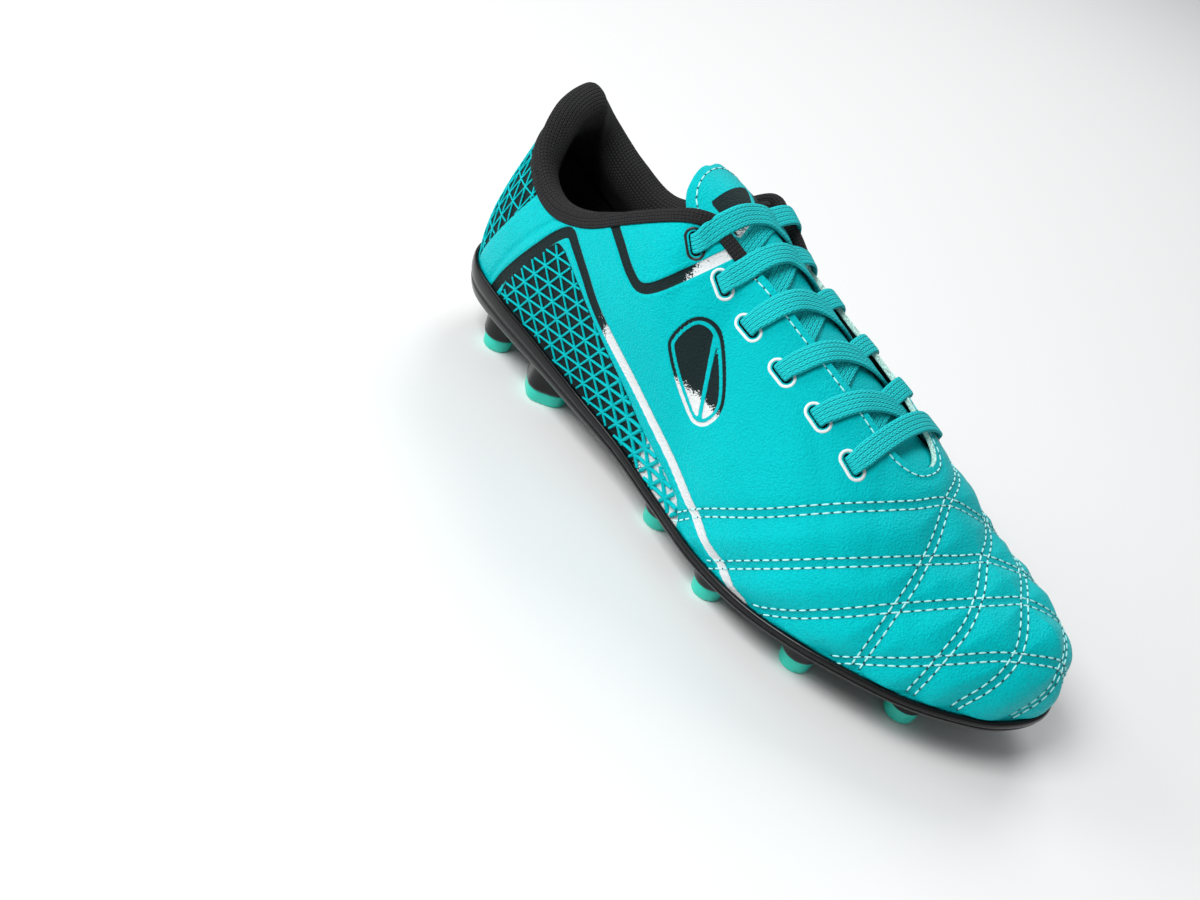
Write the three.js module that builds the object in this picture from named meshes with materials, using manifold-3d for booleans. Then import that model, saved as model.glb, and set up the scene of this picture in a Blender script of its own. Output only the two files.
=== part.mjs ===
// Right football shoe for firm ground: hollow upper, moulded sole with thirteen studs, padded collar,
// tongue, insole and a flat lace. Millimetres, toe along +X, medial side along +Y, stud tips on Z = 0.
import * as THREE from 'three';
import Module from 'manifold-3d';

const wasm = await Module();
wasm.setup();

// Driving sizes
const footLength = 267;
const ballWidth = 92.5;
const heelHeight = 104.8;
const wall = 1.8;
const gap = 0.3;
const rimThick = 1.9;
const rimLip = 1.2;
const floorThick = 3;
const lipWidth = 3.6;
const lipStep = 1.0;
const insoleThick = 3.2;
const tipHeight = 5.6;
const tipRadius = 6.0;
const laceWide = 7.2;
const laceThick = 1.4;
const slotLong = 9.8;
const slotWide = 4.0;
const turquoise = '#00bfc4';
const black = '#0d0e11';
const tealGreen = '#1fc9b4';

// Sections of the shoe, heel to toe. x, lx, mx and spine are shares of footLength; lat, med, ly and my
// are shares of ballWidth; feather, lz and mz are shares of heelHeight. lean and flare are degrees, wall
// and crown are the fullness of the side and of the top, rim and tuck are millimetres.
const columns = ['x', 'lat', 'med', 'feather', 'lx', 'ly', 'lz', 'mx', 'my', 'mz',
  'lean', 'flare', 'wall', 'crown', 'rim', 'tuck', 'spine'];
const sections = [
  [-0.498, 0, 0, 0.299, -0.454, 0, 1, -0.454, 0, 1, 80, 8, 0.34, 0.34, 14, 3.4, -0.42],
  [-0.487, -0.167, 0.156, 0.299, -0.45, -0.144, 0.926, -0.452, 0.133, 0.956, 80, 8, 0.34, 0.34, 14, 3.4, -0.415],
  [-0.45, -0.267, 0.261, 0.289, -0.421, -0.256, 0.794, -0.427, 0.233, 0.863, 78, 8, 0.34, 0.34, 13.4, 3.2, -0.395],
  [-0.385, -0.311, 0.317, 0.275, -0.363, -0.306, 0.716, -0.371, 0.261, 0.779, 74, 8, 0.34, 0.34, 12.4, 3, -0.355],
  [-0.3, -0.328, 0.322, 0.25, -0.296, -0.322, 0.76, -0.3, 0.267, 0.74, 72, 8, 0.36, 0.34, 10.6, 2.6, -0.29],
  [-0.2, -0.35, 0.306, 0.22, -0.221, -0.317, 0.902, -0.225, 0.256, 0.853, 66, 8, 0.38, 0.33, 8.4, 2.2, -0.2],
  [-0.1, -0.372, 0.3, 0.191, -0.146, -0.272, 1.034, -0.156, 0.228, 1.015, 58, 8, 0.38, 0.3, 6.6, 1.8, -0.1],
  [-0.008, -0.422, 0.322, 0.167, -0.1, 0, 1.074, -0.1, 0, 1.074, 8, 8, 0.42, 0.42, 5.4, 1.4, -0.008],
  [0.085, -0.478, 0.378, 0.152, 0, 0, 0.946, 0, 0, 0.946, 0, 10, 0.46, 0.5, 4.8, 1.2, 0.085],
  [0.173, -0.5, 0.444, 0.157, 0.123, 0.011, 0.809, 0.123, 0.011, 0.809, 0, 12, 0.51, 0.53, 4.4, 1.1, 0.173],
  [0.254, -0.478, 0.478, 0.176, 0.231, 0.022, 0.672, 0.231, 0.022, 0.672, 0, 14, 0.55, 0.55, 4.2, 1, 0.25],
  [0.323, -0.422, 0.478, 0.191, 0.315, 0.044, 0.559, 0.315, 0.044, 0.559, 0, 14, 0.56, 0.56, 4.2, 1, 0.315],
  [0.385, -0.35, 0.45, 0.203, 0.369, 0.067, 0.515, 0.369, 0.067, 0.515, 0, 13, 0.56, 0.58, 4.3, 1.1, 0.365],
  [0.438, -0.239, 0.378, 0.211, 0.408, 0.083, 0.492, 0.408, 0.083, 0.492, 0, 12, 0.56, 0.6, 4.6, 1.3, 0.4],
  [0.479, -0.1, 0.278, 0.214, 0.431, 0.089, 0.476, 0.431, 0.089, 0.476, 0, 11, 0.56, 0.6, 5.1, 1.6, 0.418],
  [0.5, 0.092, 0.092, 0.216, 0.438, 0.089, 0.4745, 0.438, 0.089, 0.4745, 0, 11, 0.56, 0.6, 5.4, 1.8, 0.425],
];
const toeRow = sections.length - 1;
const closeRow = 7;
const loopLength = 2 * toeRow;

// Studs, millimetres: place on the ground and the size of the base where it leaves the plate
const roundStuds = [
  ['lateral_1', 101, -15, 0.9], ['lateral_2', 67, -32, 0], ['lateral_3', 29, -36.5, 0],
  ['lateral_4', -4, -27.5, 0], ['medial_1', 111, 17, 0.9], ['medial_2', 83, 27, 0],
  ['medial_3', 44, 29.5, 0], ['medial_4', 11, 17.5, 0], ['heel_lateral', -107, -16, 0],
  ['heel_medial', -107, 16, 0],
];
const bladeStuds = [
  ['blade_lateral', -76, -19.5, -90], ['blade_medial', -76, 19, 90], ['blade_centre', 52, -1, 0],
];

// Eyelets on the lateral and the medial eyestay, collar end first
const eyeletsLateral = [[-34.3, -29.5], [-20.2, -27.8], [-5, -26.6], [12.9, -26.6], [30.5, -26], [47.7, -24.7]];
const eyeletsMedial = [[-33.5, 27.5], [-20.2, 27.2], [-5, 26.8], [12.9, 27.2], [30.5, 27.6], [47.7, 27]];

const rad = (deg) => deg * Math.PI / 180;
const lerp = (a, b, f) => a + (b - a) * f;
const clamp = (v, a, b) => Math.min(b, Math.max(a, v));

// One column of the section table as a closed loop value, heel, lateral side, toe, medial side
const medialName = { lat: 'med', lx: 'mx', ly: 'my', lz: 'mz' };
function cell(index, name) {
  const i = ((index % loopLength) + loopLength) % loopLength;
  const medial = i > toeRow;
  const row = medial ? loopLength - i : i;
  return sections[row][columns.indexOf(medial && medialName[name] ? medialName[name] : name)];
}

function smooth(u, name) {
  const i = Math.floor(u);
  const f = u - i;
  const [a, b, c, d] = [cell(i - 1, name), cell(i, name), cell(i + 1, name), cell(i + 2, name)];
  return 0.5 * (2 * b + (c - a) * f + (2 * a - 5 * b + 4 * c - d) * f * f + (3 * b - a - 3 * c + d) * f ** 3);
}

function featherPoint(u) {
  return new THREE.Vector3(smooth(u, 'x') * footLength, smooth(u, 'lat') * ballWidth,
    smooth(u, 'feather') * heelHeight);
}

function outward(u) {
  const a = featherPoint(u - 0.001);
  const b = featherPoint(u + 0.001);
  return new THREE.Vector3(b.y - a.y, a.x - b.x, 0).normalize();
}

function topPoint(u) {
  const at = (v) => new THREE.Vector3(smooth(v, 'lx') * footLength, smooth(v, 'ly') * ballWidth,
    smooth(v, 'lz') * heelHeight);
  const row = Math.min(u % loopLength, loopLength - (u % loopLength));
  return row < closeRow ? at(u) : at(u).add(at(loopLength - u)).multiplyScalar(0.5);
}

function ridgeSlope(u) {
  const row = Math.min(u, loopLength - u);
  if (row < closeRow - 1) return 0;
  const slopeAt = (r) => {
    const a = Math.max(r - 1, closeRow);
    const b = Math.min(r + 1, toeRow);
    return heelHeight * (cell(b, 'lz') - cell(a, 'lz')) / (footLength * (cell(b, 'lx') - cell(a, 'lx')));
  };
  const r = Math.floor(row);
  if (r < closeRow) return slopeAt(closeRow) * (row - r);
  return lerp(slopeAt(r), slopeAt(Math.min(r + 1, toeRow)), row - r);
}

// The outside of the upper: a rib for each place u on the loop, from the feather line up to the collar
// or to the ridge of the instep
function makeRib(u) {
  const v = ((u % loopLength) + loopLength) % loopLength;
  const foot = featherPoint(v);
  const top = topPoint(v);
  const out = outward(v);
  const lean = rad(Math.max(smooth(v, 'lean'), 0));
  const flare = rad(smooth(v, 'flare'));
  const run = Math.hypot(top.x - foot.x, top.y - foot.y);
  const rise = top.z - foot.z;
  const side = out.clone().multiplyScalar(Math.sin(flare)).add(new THREE.Vector3(0, 0, Math.cos(flare)));
  const level = new THREE.Vector3(top.x - foot.x, top.y - foot.y, 0).normalize();
  const share = clamp(1 - lean / rad(40), 0, 1);
  const inward = level.multiplyScalar(share).addScaledVector(out, share - 1).normalize();
  const arrive = new THREE.Vector3(inward.x * Math.cos(lean), inward.y * Math.cos(lean),
    inward.x * ridgeSlope(v) * Math.cos(lean) + Math.sin(lean));
  const reach = smooth(v, 'crown') * (run * Math.cos(lean) + rise * Math.sin(lean));
  const low = foot.clone().addScaledVector(side, smooth(v, 'wall') * rise);
  const high = top.clone().addScaledVector(arrive, -reach);
  return { u: v, out, curve: new THREE.CubicBezierCurve3(foot, low, high, top) };
}

const onUpper = (u, t) => makeRib(u).curve.getPoint(clamp(t, 0, 1));

function upperNormal(u, t) {
  const h = 0.004;
  const t0 = clamp(t - h, 0, 1);
  const t1 = clamp(t + h, 0, 1);
  const up = onUpper(u, t1).sub(onUpper(u, t0));
  const along = onUpper(u + h, t).sub(onUpper(u - h, t));
  return along.cross(up).normalize();
}

// Place on the upper under a point of the plan, found by Newton steps from the nearest sample
const samples = [];
for (let u = 0; u < loopLength; u += 0.25) {
  for (let t = 0.3; t <= 1; t += 0.05) samples.push([u, t, onUpper(u, t)]);
}
function findPlace(x, y, height = 30) {
  let best = null;
  let least = Infinity;
  for (const [u, t, p] of samples) {
    const d = Math.hypot(p.x - x, p.y - y);
    if (p.z > height && d < least) {
      least = d;
      best = [u, t];
    }
  }
  let [u, t] = best;
  for (let i = 0; i < 8; i += 1) {
    const h = 0.01;
    const p = onUpper(u, t);
    const pu = onUpper(u + h, t).sub(p).divideScalar(h);
    const ht = t > 0.98 ? -h : h;
    const pt = onUpper(u, t + ht).sub(p).divideScalar(ht);
    const det = pu.x * pt.y - pu.y * pt.x;
    if (Math.abs(det) < 1e-6) break;
    const ex = x - p.x;
    const ey = y - p.y;
    u += clamp((ex * pt.y - ey * pt.x) / det, -0.3, 0.3);
    t = clamp(t + clamp((pu.x * ey - pu.y * ex) / det, -0.2, 0.2), 0.05, 1);
  }
  return { u, t, point: onUpper(u, t), normal: upperNormal(u, t) };
}

// Below the feather line the rim of the sole turns under by the tuck
const rimDrop = (u, d) => smooth(u, 'tuck') * (0.35 * d + 0.65 * d * d);
function belowFeather(u, d, offset) {
  return featherPoint(u).addScaledVector(outward(u), offset - rimDrop(u, d))
    .setZ(featherPoint(u).z - d * smooth(u, 'rim'));
}
const floorShare = (u) => (smooth(u, 'rim') - floorThick) / smooth(u, 'rim');
const seatShare = (u) => (smooth(u, 'rim') - floorThick - gap) / smooth(u, 'rim');

function spinePoint(u, z) {
  const mirror = loopLength - u;
  const y = (smooth(u, 'lat') + smooth(mirror, 'lat')) / 2 * ballWidth;
  return new THREE.Vector3((smooth(u, 'spine') + smooth(mirror, 'spine')) / 2 * footLength, y, z);
}

// Point at a distance along the level line from an edge point to the spine
function towards(edge, spine, distance, z) {
  const length = Math.hypot(spine.x - edge.x, spine.y - edge.y);
  const f = Math.min(distance / length, 0.92);
  return new THREE.Vector3(lerp(edge.x, spine.x, f), lerp(edge.y, spine.y, f), z);
}

// Closed solid from triangles: vertices are merged by place and slivers are dropped
function toManifold(triangles) {
  const ids = new Map();
  const verts = [];
  const index = [];
  const idOf = (p) => {
    const key = `${Math.round(p.x * 5000)},${Math.round(p.y * 5000)},${Math.round(p.z * 5000)}`;
    if (!ids.has(key)) {
      ids.set(key, verts.length / 3);
      verts.push(p.x, p.y, p.z);
    }
    return ids.get(key);
  };
  for (const tri of triangles) {
    const [a, b, c] = tri.map(idOf);
    if (a !== b && b !== c && c !== a) index.push(a, b, c);
  }
  return new wasm.Manifold(new wasm.Mesh({
    numProp: 3, vertProperties: new Float32Array(verts), triVerts: new Uint32Array(index),
  }));
}

function quads(grid, wrap, flip = false) {
  const out = [];
  const count = grid.length;
  for (let i = 0; i < (wrap ? count : count - 1); i += 1) {
    const a = grid[i];
    const b = grid[(i + 1) % count];
    for (let k = 0; k < a.length - 1; k += 1) {
      const two = [[a[k], b[k], b[k + 1]], [a[k], b[k + 1], a[k + 1]]];
      out.push(...(flip ? two.map(([p, q, r]) => [p, r, q]) : two));
    }
  }
  return out;
}

// Solid swept along stations, each a closed ring of points, with flat fans over both ends
function sweepRings(rings) {
  const out = quads(rings.map((r) => [...r, r[0]]), false);
  const fan = (ring, flip) => {
    const flat = ring.map((p) => p.clone());
    for (let i = 1; i < flat.length - 1; i += 1) {
      out.push(flip ? [flat[0], flat[i + 1], flat[i]] : [flat[0], flat[i], flat[i + 1]]);
    }
  };
  fan(rings[0], false);
  fan(rings[rings.length - 1], true);
  const solid = toManifold(out);
  return solid.volume() < 0 ? toManifold(out.map(([a, b, c]) => [a, c, b])) : solid;
}

function closedSolid(triangles) {
  const solid = toManifold(triangles);
  return solid.volume() < 0 ? toManifold(triangles.map(([a, b, c]) => [a, c, b])) : solid;
}

function geometryToManifold(geometry) {
  const g = geometry.index ? geometry.toNonIndexed() : geometry;
  const p = g.attributes.position;
  const tris = [];
  for (let i = 0; i < p.count; i += 3) {
    tris.push([0, 1, 2].map((k) => new THREE.Vector3().fromBufferAttribute(p, i + k)));
  }
  return closedSolid(tris);
}

// Upper: outer and inner wall over the ribs, closed by the edges at the collar and at the bottom
const ringShares = [0, 0.08, 0.19, 0.32, 0.46, 0.6, 0.74, 0.87, 1];
const stationCount = 60;
const stations = Array.from({ length: stationCount }, (_, i) => i * loopLength / stationCount);

function buildUpper() {
  const outer = stations.map((u) => [
    belowFeather(u, seatShare(u), 0), belowFeather(u, seatShare(u) * 0.5, 0),
    ...ringShares.map((t) => onUpper(u, t)),
  ]);
  const normalOf = new Map();
  const keyOf = (p) => `${Math.round(p.x * 500)},${Math.round(p.y * 500)},${Math.round(p.z * 500)}`;
  const faces = quads(outer, true);
  for (const [a, b, c] of faces) {
    const n = b.clone().sub(a).cross(c.clone().sub(a));
    for (const p of [a, b, c]) {
      const key = keyOf(p);
      normalOf.set(key, (normalOf.get(key) ?? new THREE.Vector3()).add(n));
    }
  }
  const inner = outer.map((column, i) => column.map((p, k) => {
    if (k === 0) return p.clone().addScaledVector(outward(stations[i]), -wall);
    return p.clone().addScaledVector(normalOf.get(keyOf(p)).clone().normalize(), -wall);
  }));
  const tris = [...faces, ...quads(inner, true, true)];
  const last = outer[0].length - 1;
  const strip = (k, flip) => outer.forEach((column, i) => {
    const j = (i + 1) % outer.length;
    if (keyOf(column[k]) === keyOf(outer[(outer.length - i) % outer.length][k]) && k > 0 && i > 0) {
      const far = outer[j][k];
      if (keyOf(far) === keyOf(outer[(outer.length - j) % outer.length][k]) && j > 0) return;
    }
    const ring = [column[k], outer[j][k], inner[j][k], inner[i][k]];
    const two = [[ring[0], ring[1], ring[2]], [ring[0], ring[2], ring[3]]];
    tris.push(...(flip ? two.map(([a, b, c]) => [a, c, b]) : two));
  });
  strip(0, true);
  strip(last, false);
  return closedSolid(tris);
}

// Throat: a tongue-shaped opening in plan, flared where it meets the collar
const throatEdge = [[-44, 19], [-36, 20.5], [-30, 20.2], [-24, 18.8], [-14, 17.2], [0, 16.2], [20, 14.8],
  [38, 13.2], [50, 11.8], [56, 9.6], [60, 5.6], [61.4, 0]];
const throatMiddle = (x) => lerp(0, 2, clamp((x + 30) / 90, 0, 1));
function throatCutter() {
  const right = throatEdge.map(([x, half]) => new THREE.Vector2(x, throatMiddle(x) + half));
  const left = throatEdge.slice(0, -1).map(([x, half]) => new THREE.Vector2(x, throatMiddle(x) - half));
  const shape = new THREE.Shape([...left, ...right.reverse()]);
  const solid = new THREE.ExtrudeGeometry(shape, { depth: 90, bevelEnabled: false });
  return geometryToManifold(solid.translate(0, 0, 58));
}

// The long way of an eyelet slot: along the shoe in the surface of the upper
function slotDirection([x, y]) {
  return findPlace(x + 3, y, 50).point.sub(findPlace(x - 3, y, 50).point).normalize();
}

function slotCutter([x, y], long, wide, deep) {
  const { point, normal } = findPlace(x, y, 50);
  const r = wide / 2;
  const shape = new THREE.Shape();
  shape.absarc(long / 2 - r, 0, r, -Math.PI / 2, Math.PI / 2);
  shape.absarc(-long / 2 + r, 0, r, Math.PI / 2, 3 * Math.PI / 2);
  const solid = new THREE.ExtrudeGeometry(shape, { depth: deep, bevelEnabled: false, curveSegments: 3 });
  solid.translate(0, 0, -deep / 2);
  const ahead = slotDirection([x, y]);
  const across = normal.clone().cross(ahead).normalize();
  const frame = new THREE.Matrix4().makeBasis(ahead.clone().cross(normal).cross(normal).negate().normalize(),
    across, normal).setPosition(point);
  return geometryToManifold(solid.applyMatrix4(frame));
}

function buildUpperCut() {
  let body = buildUpper().subtract(throatCutter());
  for (const place of [...eyeletsLateral, ...eyeletsMedial]) {
    body = body.subtract(slotCutter(place, slotLong, slotWide, 8));
  }
  return body;
}

// Sole plate with its rim: one rib from the spine of the underside round the rim to the spine of the floor
function undersideZ(u) {
  const mirror = loopLength - u;
  const edge = (v) => featherPoint(v).z - smooth(v, 'rim');
  return (edge(u) + edge(mirror)) / 2 + lipStep;
}
function buildPlate() {
  const ribs = stations.map((u) => {
    const outerAt = (d, thick) => belowFeather(u, d, gap + thick);
    const low = outerAt(1, rimThick - 0.8);
    const spineLow = spinePoint(u, undersideZ(u));
    const floorCorner = belowFeather(u, floorShare(u), gap);
    const spineHigh = spinePoint(u, undersideZ(u) - lipStep + floorThick);
    const length = Math.hypot(spineLow.x - low.x, spineLow.y - low.y);
    return [
      spineLow, towards(low, spineLow, length * 0.6, lerp(low.z + lipStep, spineLow.z, 0.6)),
      towards(low, spineLow, lipWidth + 1.2, low.z + lipStep), towards(low, spineLow, lipWidth, low.z),
      low, outerAt(0.82, rimThick), outerAt(0.4, rimThick), outerAt(0, rimLip),
      belowFeather(u, 0, gap), belowFeather(u, floorShare(u) * 0.5, gap), floorCorner,
      towards(floorCorner, spineHigh, length * 0.5, lerp(floorCorner.z, spineHigh.z, 0.5)), spineHigh,
    ];
  });
  return closedSolid(quads(ribs, true));
}

// Height of the underside at a place on the ground plan
const undersidePoints = [];
for (let u = 0; u < loopLength; u += 0.25) {
  const low = belowFeather(u, 1, gap + rimThick);
  const spine = spinePoint(u, undersideZ(u));
  for (let f = 0; f <= 1; f += 0.1) {
    undersidePoints.push(new THREE.Vector3().lerpVectors(low.clone().setZ(low.z + lipStep), spine, f));
  }
}
function undersideAt(x, y) {
  const near = undersidePoints.map((p) => [Math.hypot(p.x - x, p.y - y), p.z]).sort((a, b) => a[0] - b[0]);
  return (near[0][1] + near[1][1] + near[2][1]) / 3;
}

function lathe(profile, segments, x, y) {
  const points = profile.map(([r, z]) => new THREE.Vector2(r, z));
  const g = new THREE.LatheGeometry(points, segments);
  return geometryToManifold(g.rotateX(Math.PI / 2).translate(x, y, 0));
}

function roundBase([, x, y, lift]) {
  const top = undersideAt(x, y);
  const low = tipHeight + lift;
  return lathe([[0, low], [tipRadius + 0.4, low], [tipRadius + 0.9, low + 1.6], [tipRadius + 1.5, top - 1.6],
    [tipRadius + 3.4, top + 0.4], [tipRadius + 3.4, top + 1.0], [0, top + 1.0]], 16, x, y);
}

function roundTip([, x, y, lift]) {
  return lathe([[0, lift], [tipRadius - 1.2, lift], [tipRadius - 0.4, lift + 0.9],
    [tipRadius, lift + tipHeight], [0, lift + tipHeight]], 16, x, y);
}

// Chevron studs: the plan of the arrow, grown from the ground up to the plate
const chevron = [[9, 0], [1.5, 9.5], [-4, 9.5], [-5, 7.2], [0.6, 0], [-5, -7.2], [-4, -9.5], [1.5, -9.5]];
function chevronLayer(x, y, turn, grow, z) {
  const a = rad(turn);
  return chevron.map(([px, py]) => {
    const length = Math.hypot(px - 1.5, py);
    const sx = px + (px - 1.5) / Math.max(length, 1) * grow;
    const sy = py + py / Math.max(length, 1) * grow;
    return new THREE.Vector3(x + sx * Math.cos(a) - sy * Math.sin(a), y + sx * Math.sin(a) + sy * Math.cos(a), z);
  });
}
function chevronSolid(x, y, turn, levels) {
  const rings = levels.map(([grow, z]) => chevronLayer(x, y, turn, grow, z));
  const tris = quads(rings.map((r) => [...r, r[0]]), false);
  const flat = chevron.map(([px, py]) => new THREE.Vector2(px, py));
  for (const [a, b, c] of THREE.ShapeUtils.triangulateShape(flat, [])) {
    const low = rings[0];
    const high = rings[rings.length - 1];
    tris.push([low[a], low[b], low[c]], [high[a], high[c], high[b]]);
  }
  return closedSolid(tris);
}
function bladeBase([, x, y, turn]) {
  const top = undersideAt(x, y);
  return chevronSolid(x, y, turn, [[0.3, tipHeight], [0.8, tipHeight + 1.6], [1.2, top - 1.4], [2.8, top + 0.5],
    [2.8, top + 1.0]]);
}
function bladeTip([, x, y, turn]) {
  return chevronSolid(x, y, turn, [[-1.1, 0], [-0.3, 0.8], [0.1, tipHeight]]);
}

function buildOutsole() {
  let body = buildPlate();
  for (const stud of roundStuds) body = body.add(roundBase(stud));
  for (const stud of bladeStuds) body = body.add(bladeBase(stud));
  return body;
}

// Insole: lies on the floor inside the upper
function buildInsole() {
  const ribs = stations.map((u) => {
    const edge = belowFeather(u, seatShare(u), -wall - 0.5);
    const low = spinePoint(u, undersideZ(u) - lipStep + floorThick + gap);
    const high = low.clone().setZ(low.z + insoleThick);
    const length = Math.hypot(low.x - edge.x, low.y - edge.y);
    const rise = edge.clone().setZ(edge.z + insoleThick);
    return [low, towards(edge, low, length * 0.5, lerp(edge.z, low.z, 0.5)), edge, rise,
      towards(rise, high, length * 0.5, lerp(rise.z, high.z, 0.5)), high];
  });
  return closedSolid(quads(ribs, true));
}

// Collar: padded cuff along the topline. Each profile point is an offset across the wall and a height
// along it from the topline, in millimetres
const cuffProfile = [[-2.3, -25], [-2.3, -12], [-2.3, -1], [-2.3, 0.4], [-0.7, 0.6], [-0.8, 1.8], [-2.4, 2.9],
  [-4.6, 2.7], [-6.6, 0.8], [-7.4, -3], [-6.8, -9], [-4.6, -17], [-3.4, -25]];
const cuffEnd = 6.3;
function cuffRing(u) {
  const row = Math.min(u, loopLength - u);
  const thin = lerp(1, 0.3, clamp((row - 4) / (cuffEnd - 4), 0, 1));
  const rib = makeRib(u);
  const lengths = rib.curve.getLengths(60);
  const total = lengths[60];
  const top = rib.curve.getPoint(1);
  const rise = top.clone().sub(rib.curve.getPoint(0.97)).normalize();
  const depth = lerp(1, 0.36, clamp((row - 4.2) / 1.6, 0, 1));
  const clear = lerp(0, 1.3, clamp((row - 4.3) / 1.1, 0, 1));
  return cuffProfile.map(([across, along]) => {
    const height = along * depth;
    const inside = -2.85 - clear + Math.min(across + 2.3, 0) * thin;
    const offset = across > -2.3 ? lerp(across, inside, Math.min(clear / 0.8, 1)) : inside;
    const t = height >= 0 ? 1 : rib.curve.getUtoTmapping(1 + height / total);
    const base = height >= 0 ? top.clone().addScaledVector(rise, height * (along > 1 ? lerp(thin, 1, 0.5) : 1))
      : rib.curve.getPoint(t);
    return base.addScaledVector(upperNormal(u, Math.min(t, 0.995)), offset);
  });
}
function buildCollar() {
  const rings = [];
  const count = 36;
  for (let i = 0; i <= count; i += 1) {
    const u = lerp(-cuffEnd, cuffEnd, i / count);
    rings.push(cuffRing(u < 0 ? u + loopLength : u));
  }
  return sweepRings(rings);
}

// Tongue: follows the inside of the instep with room for the lace, then lies free in the collar.
// Columns: place along the shoe, half width, depth under the outside of the upper
const tongueRows = [[70, 15, 2.4], [64, 17, 2.8], [54, 19.5, 4.2], [42, 21.5, 5.2], [28, 22.5, 5],
  [14, 23.5, 5], [0, 24, 5], [-13, 24, 5.1], [-22, 23.5, 5.4]];
const tongueFree = [[-32, 22.5, -2.2], [-42, 20.5, -4.4], [-52, 17.5, -5.2], [-59, 13, -5.2], [-62, 7.5, -5]];
const tongueThick = 2.6;
const tongueCross = [-1, -0.82, -0.6, -0.36, -0.12, 0.12, 0.36, 0.6, 0.82, 1];
function buildTongue() {
  const rings = tongueRows.map(([x, half, depth]) => tongueCross.map((s) => {
    const { point, normal } = findPlace(x, throatMiddle(x) + s * half, 30);
    return [point.clone().addScaledVector(normal, -depth), normal];
  }));
  const lastRing = rings[rings.length - 1];
  const [lastX, lastHalf] = tongueRows[tongueRows.length - 1];
  for (const [x, half, drop] of tongueFree) {
    rings.push(tongueCross.map((s, i) => {
      const [p, n] = lastRing[i];
      const sag = lerp(1, 0.72, clamp((lastX - x) / 40, 0, 1));
      const mid = lastRing[4][0].z;
      return [new THREE.Vector3(x + p.x - lastX, p.y * half / lastHalf, mid + (p.z - mid) * sag + drop),
        n.clone()];
    }));
  }
  const solidRings = rings.map((row) => [
    ...row.map(([p]) => p),
    ...row.map(([p, n]) => p.clone().addScaledVector(n, -tongueThick)).reverse(),
  ]);
  return sweepRings(solidRings);
}

// Lace: flat ribbons over the surface. A path point is a share of the way from one eyelet to the other
// and a height of the ribbon's middle over the outside of the upper
const overPath = [[-0.012, -1.4], [-0.006, 0.4], [0.026, 2.0], [0.07, 1.75], [0.13, 1.6], [0.21, 1.85],
  [0.3, 1.15], [0.42, 0.4], [0.5, 0.15], [0.6, -0.7], [0.67, -2.4], [0.74, -3.4], [0.88, -3.55]];
const underPath = [[-0.012, -1.4], [-0.006, 0.4], [0.026, 2.0], [0.07, 1.75], [0.13, 1.6], [0.2, 1.5],
  [0.28, 0.4], [0.38, -0.7], [0.5, -1.0], [0.6, -1.6], [0.68, -2.5], [0.75, -3.4], [0.88, -3.55]];
const barPath = [[-0.012, -1.4], [-0.006, 0.4], [0.026, 1.9], [0.07, 1.6], [0.15, 1.45], [0.27, 1.45],
  [0.4, 1.5], [0.5, 1.5], [0.6, 1.5], [0.73, 1.45], [0.85, 1.45], [0.93, 1.6], [0.974, 1.9], [1.006, 0.4],
  [1.012, -1.4]];

function ribbon(from, to, path) {
  const centre = path.map(([f, h]) => {
    const g = clamp(f, 0, 1);
    const { point, normal } = findPlace(lerp(from[0], to[0], g), lerp(from[1], to[1], g), 50);
    const level = new THREE.Vector3(to[0] - from[0], to[1] - from[1], 0);
    return { p: point.addScaledVector(normal, h).addScaledVector(level, f - g), normal, f };
  });
  const frames = centre.map(({ p, normal, f }, i) => {
    const a = centre[Math.max(i - 1, 0)].p;
    const b = centre[Math.min(i + 1, centre.length - 1)].p;
    const along = b.clone().sub(a).normalize();
    const edge = Math.max(0, 1 - Math.min(Math.abs(f), Math.abs(1 - f)) / 0.2);
    const wide = along.clone().cross(normal).normalize();
    const square = slotDirection(f < 0.5 ? from : to);
    square.addScaledVector(along, -square.dot(along)).normalize();
    if (square.dot(wide) < 0) square.negate();
    if (f < 0.3 || path === barPath) wide.lerp(square, edge).normalize();
    return { p, wide, thick: wide.clone().cross(along).normalize() };
  });
  const rings = frames.map(({ p, wide, thick }) => [[-1, -1], [1, -1], [1, 1], [-1, 1]].map(([a, b]) => p.clone()
    .addScaledVector(wide, a * laceWide / 2).addScaledVector(thick, b * laceThick / 2)));
  return sweepRings(rings);
}

function buildCrossing(i) {
  const over = ribbon(eyeletsLateral[i], eyeletsMedial[i + 1], overPath);
  const under = ribbon(eyeletsMedial[i], eyeletsLateral[i + 1], underPath);
  return over.add(under);
}

// Scene graph
const group = new THREE.Group();
group.name = 'football_shoe_right';

function addMesh(name, solid, colour, roughness, metalness = 0) {
  const mesh = solid.getMesh();
  const geometry = new THREE.BufferGeometry();
  const count = mesh.vertProperties.length / mesh.numProp;
  const positions = new Float32Array(count * 3);
  for (let i = 0; i < count; i += 1) {
    for (let k = 0; k < 3; k += 1) positions[i * 3 + k] = mesh.vertProperties[i * mesh.numProp + k];
  }
  geometry.setAttribute('position', new THREE.BufferAttribute(positions, 3));
  geometry.setIndex(new THREE.BufferAttribute(new Uint32Array(mesh.triVerts), 1));
  geometry.computeVertexNormals();
  const material = new THREE.MeshStandardMaterial({ color: colour, roughness, metalness });
  const node = new THREE.Mesh(geometry, material);
  node.name = name;
  group.add(node);
  return node;
}

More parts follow.
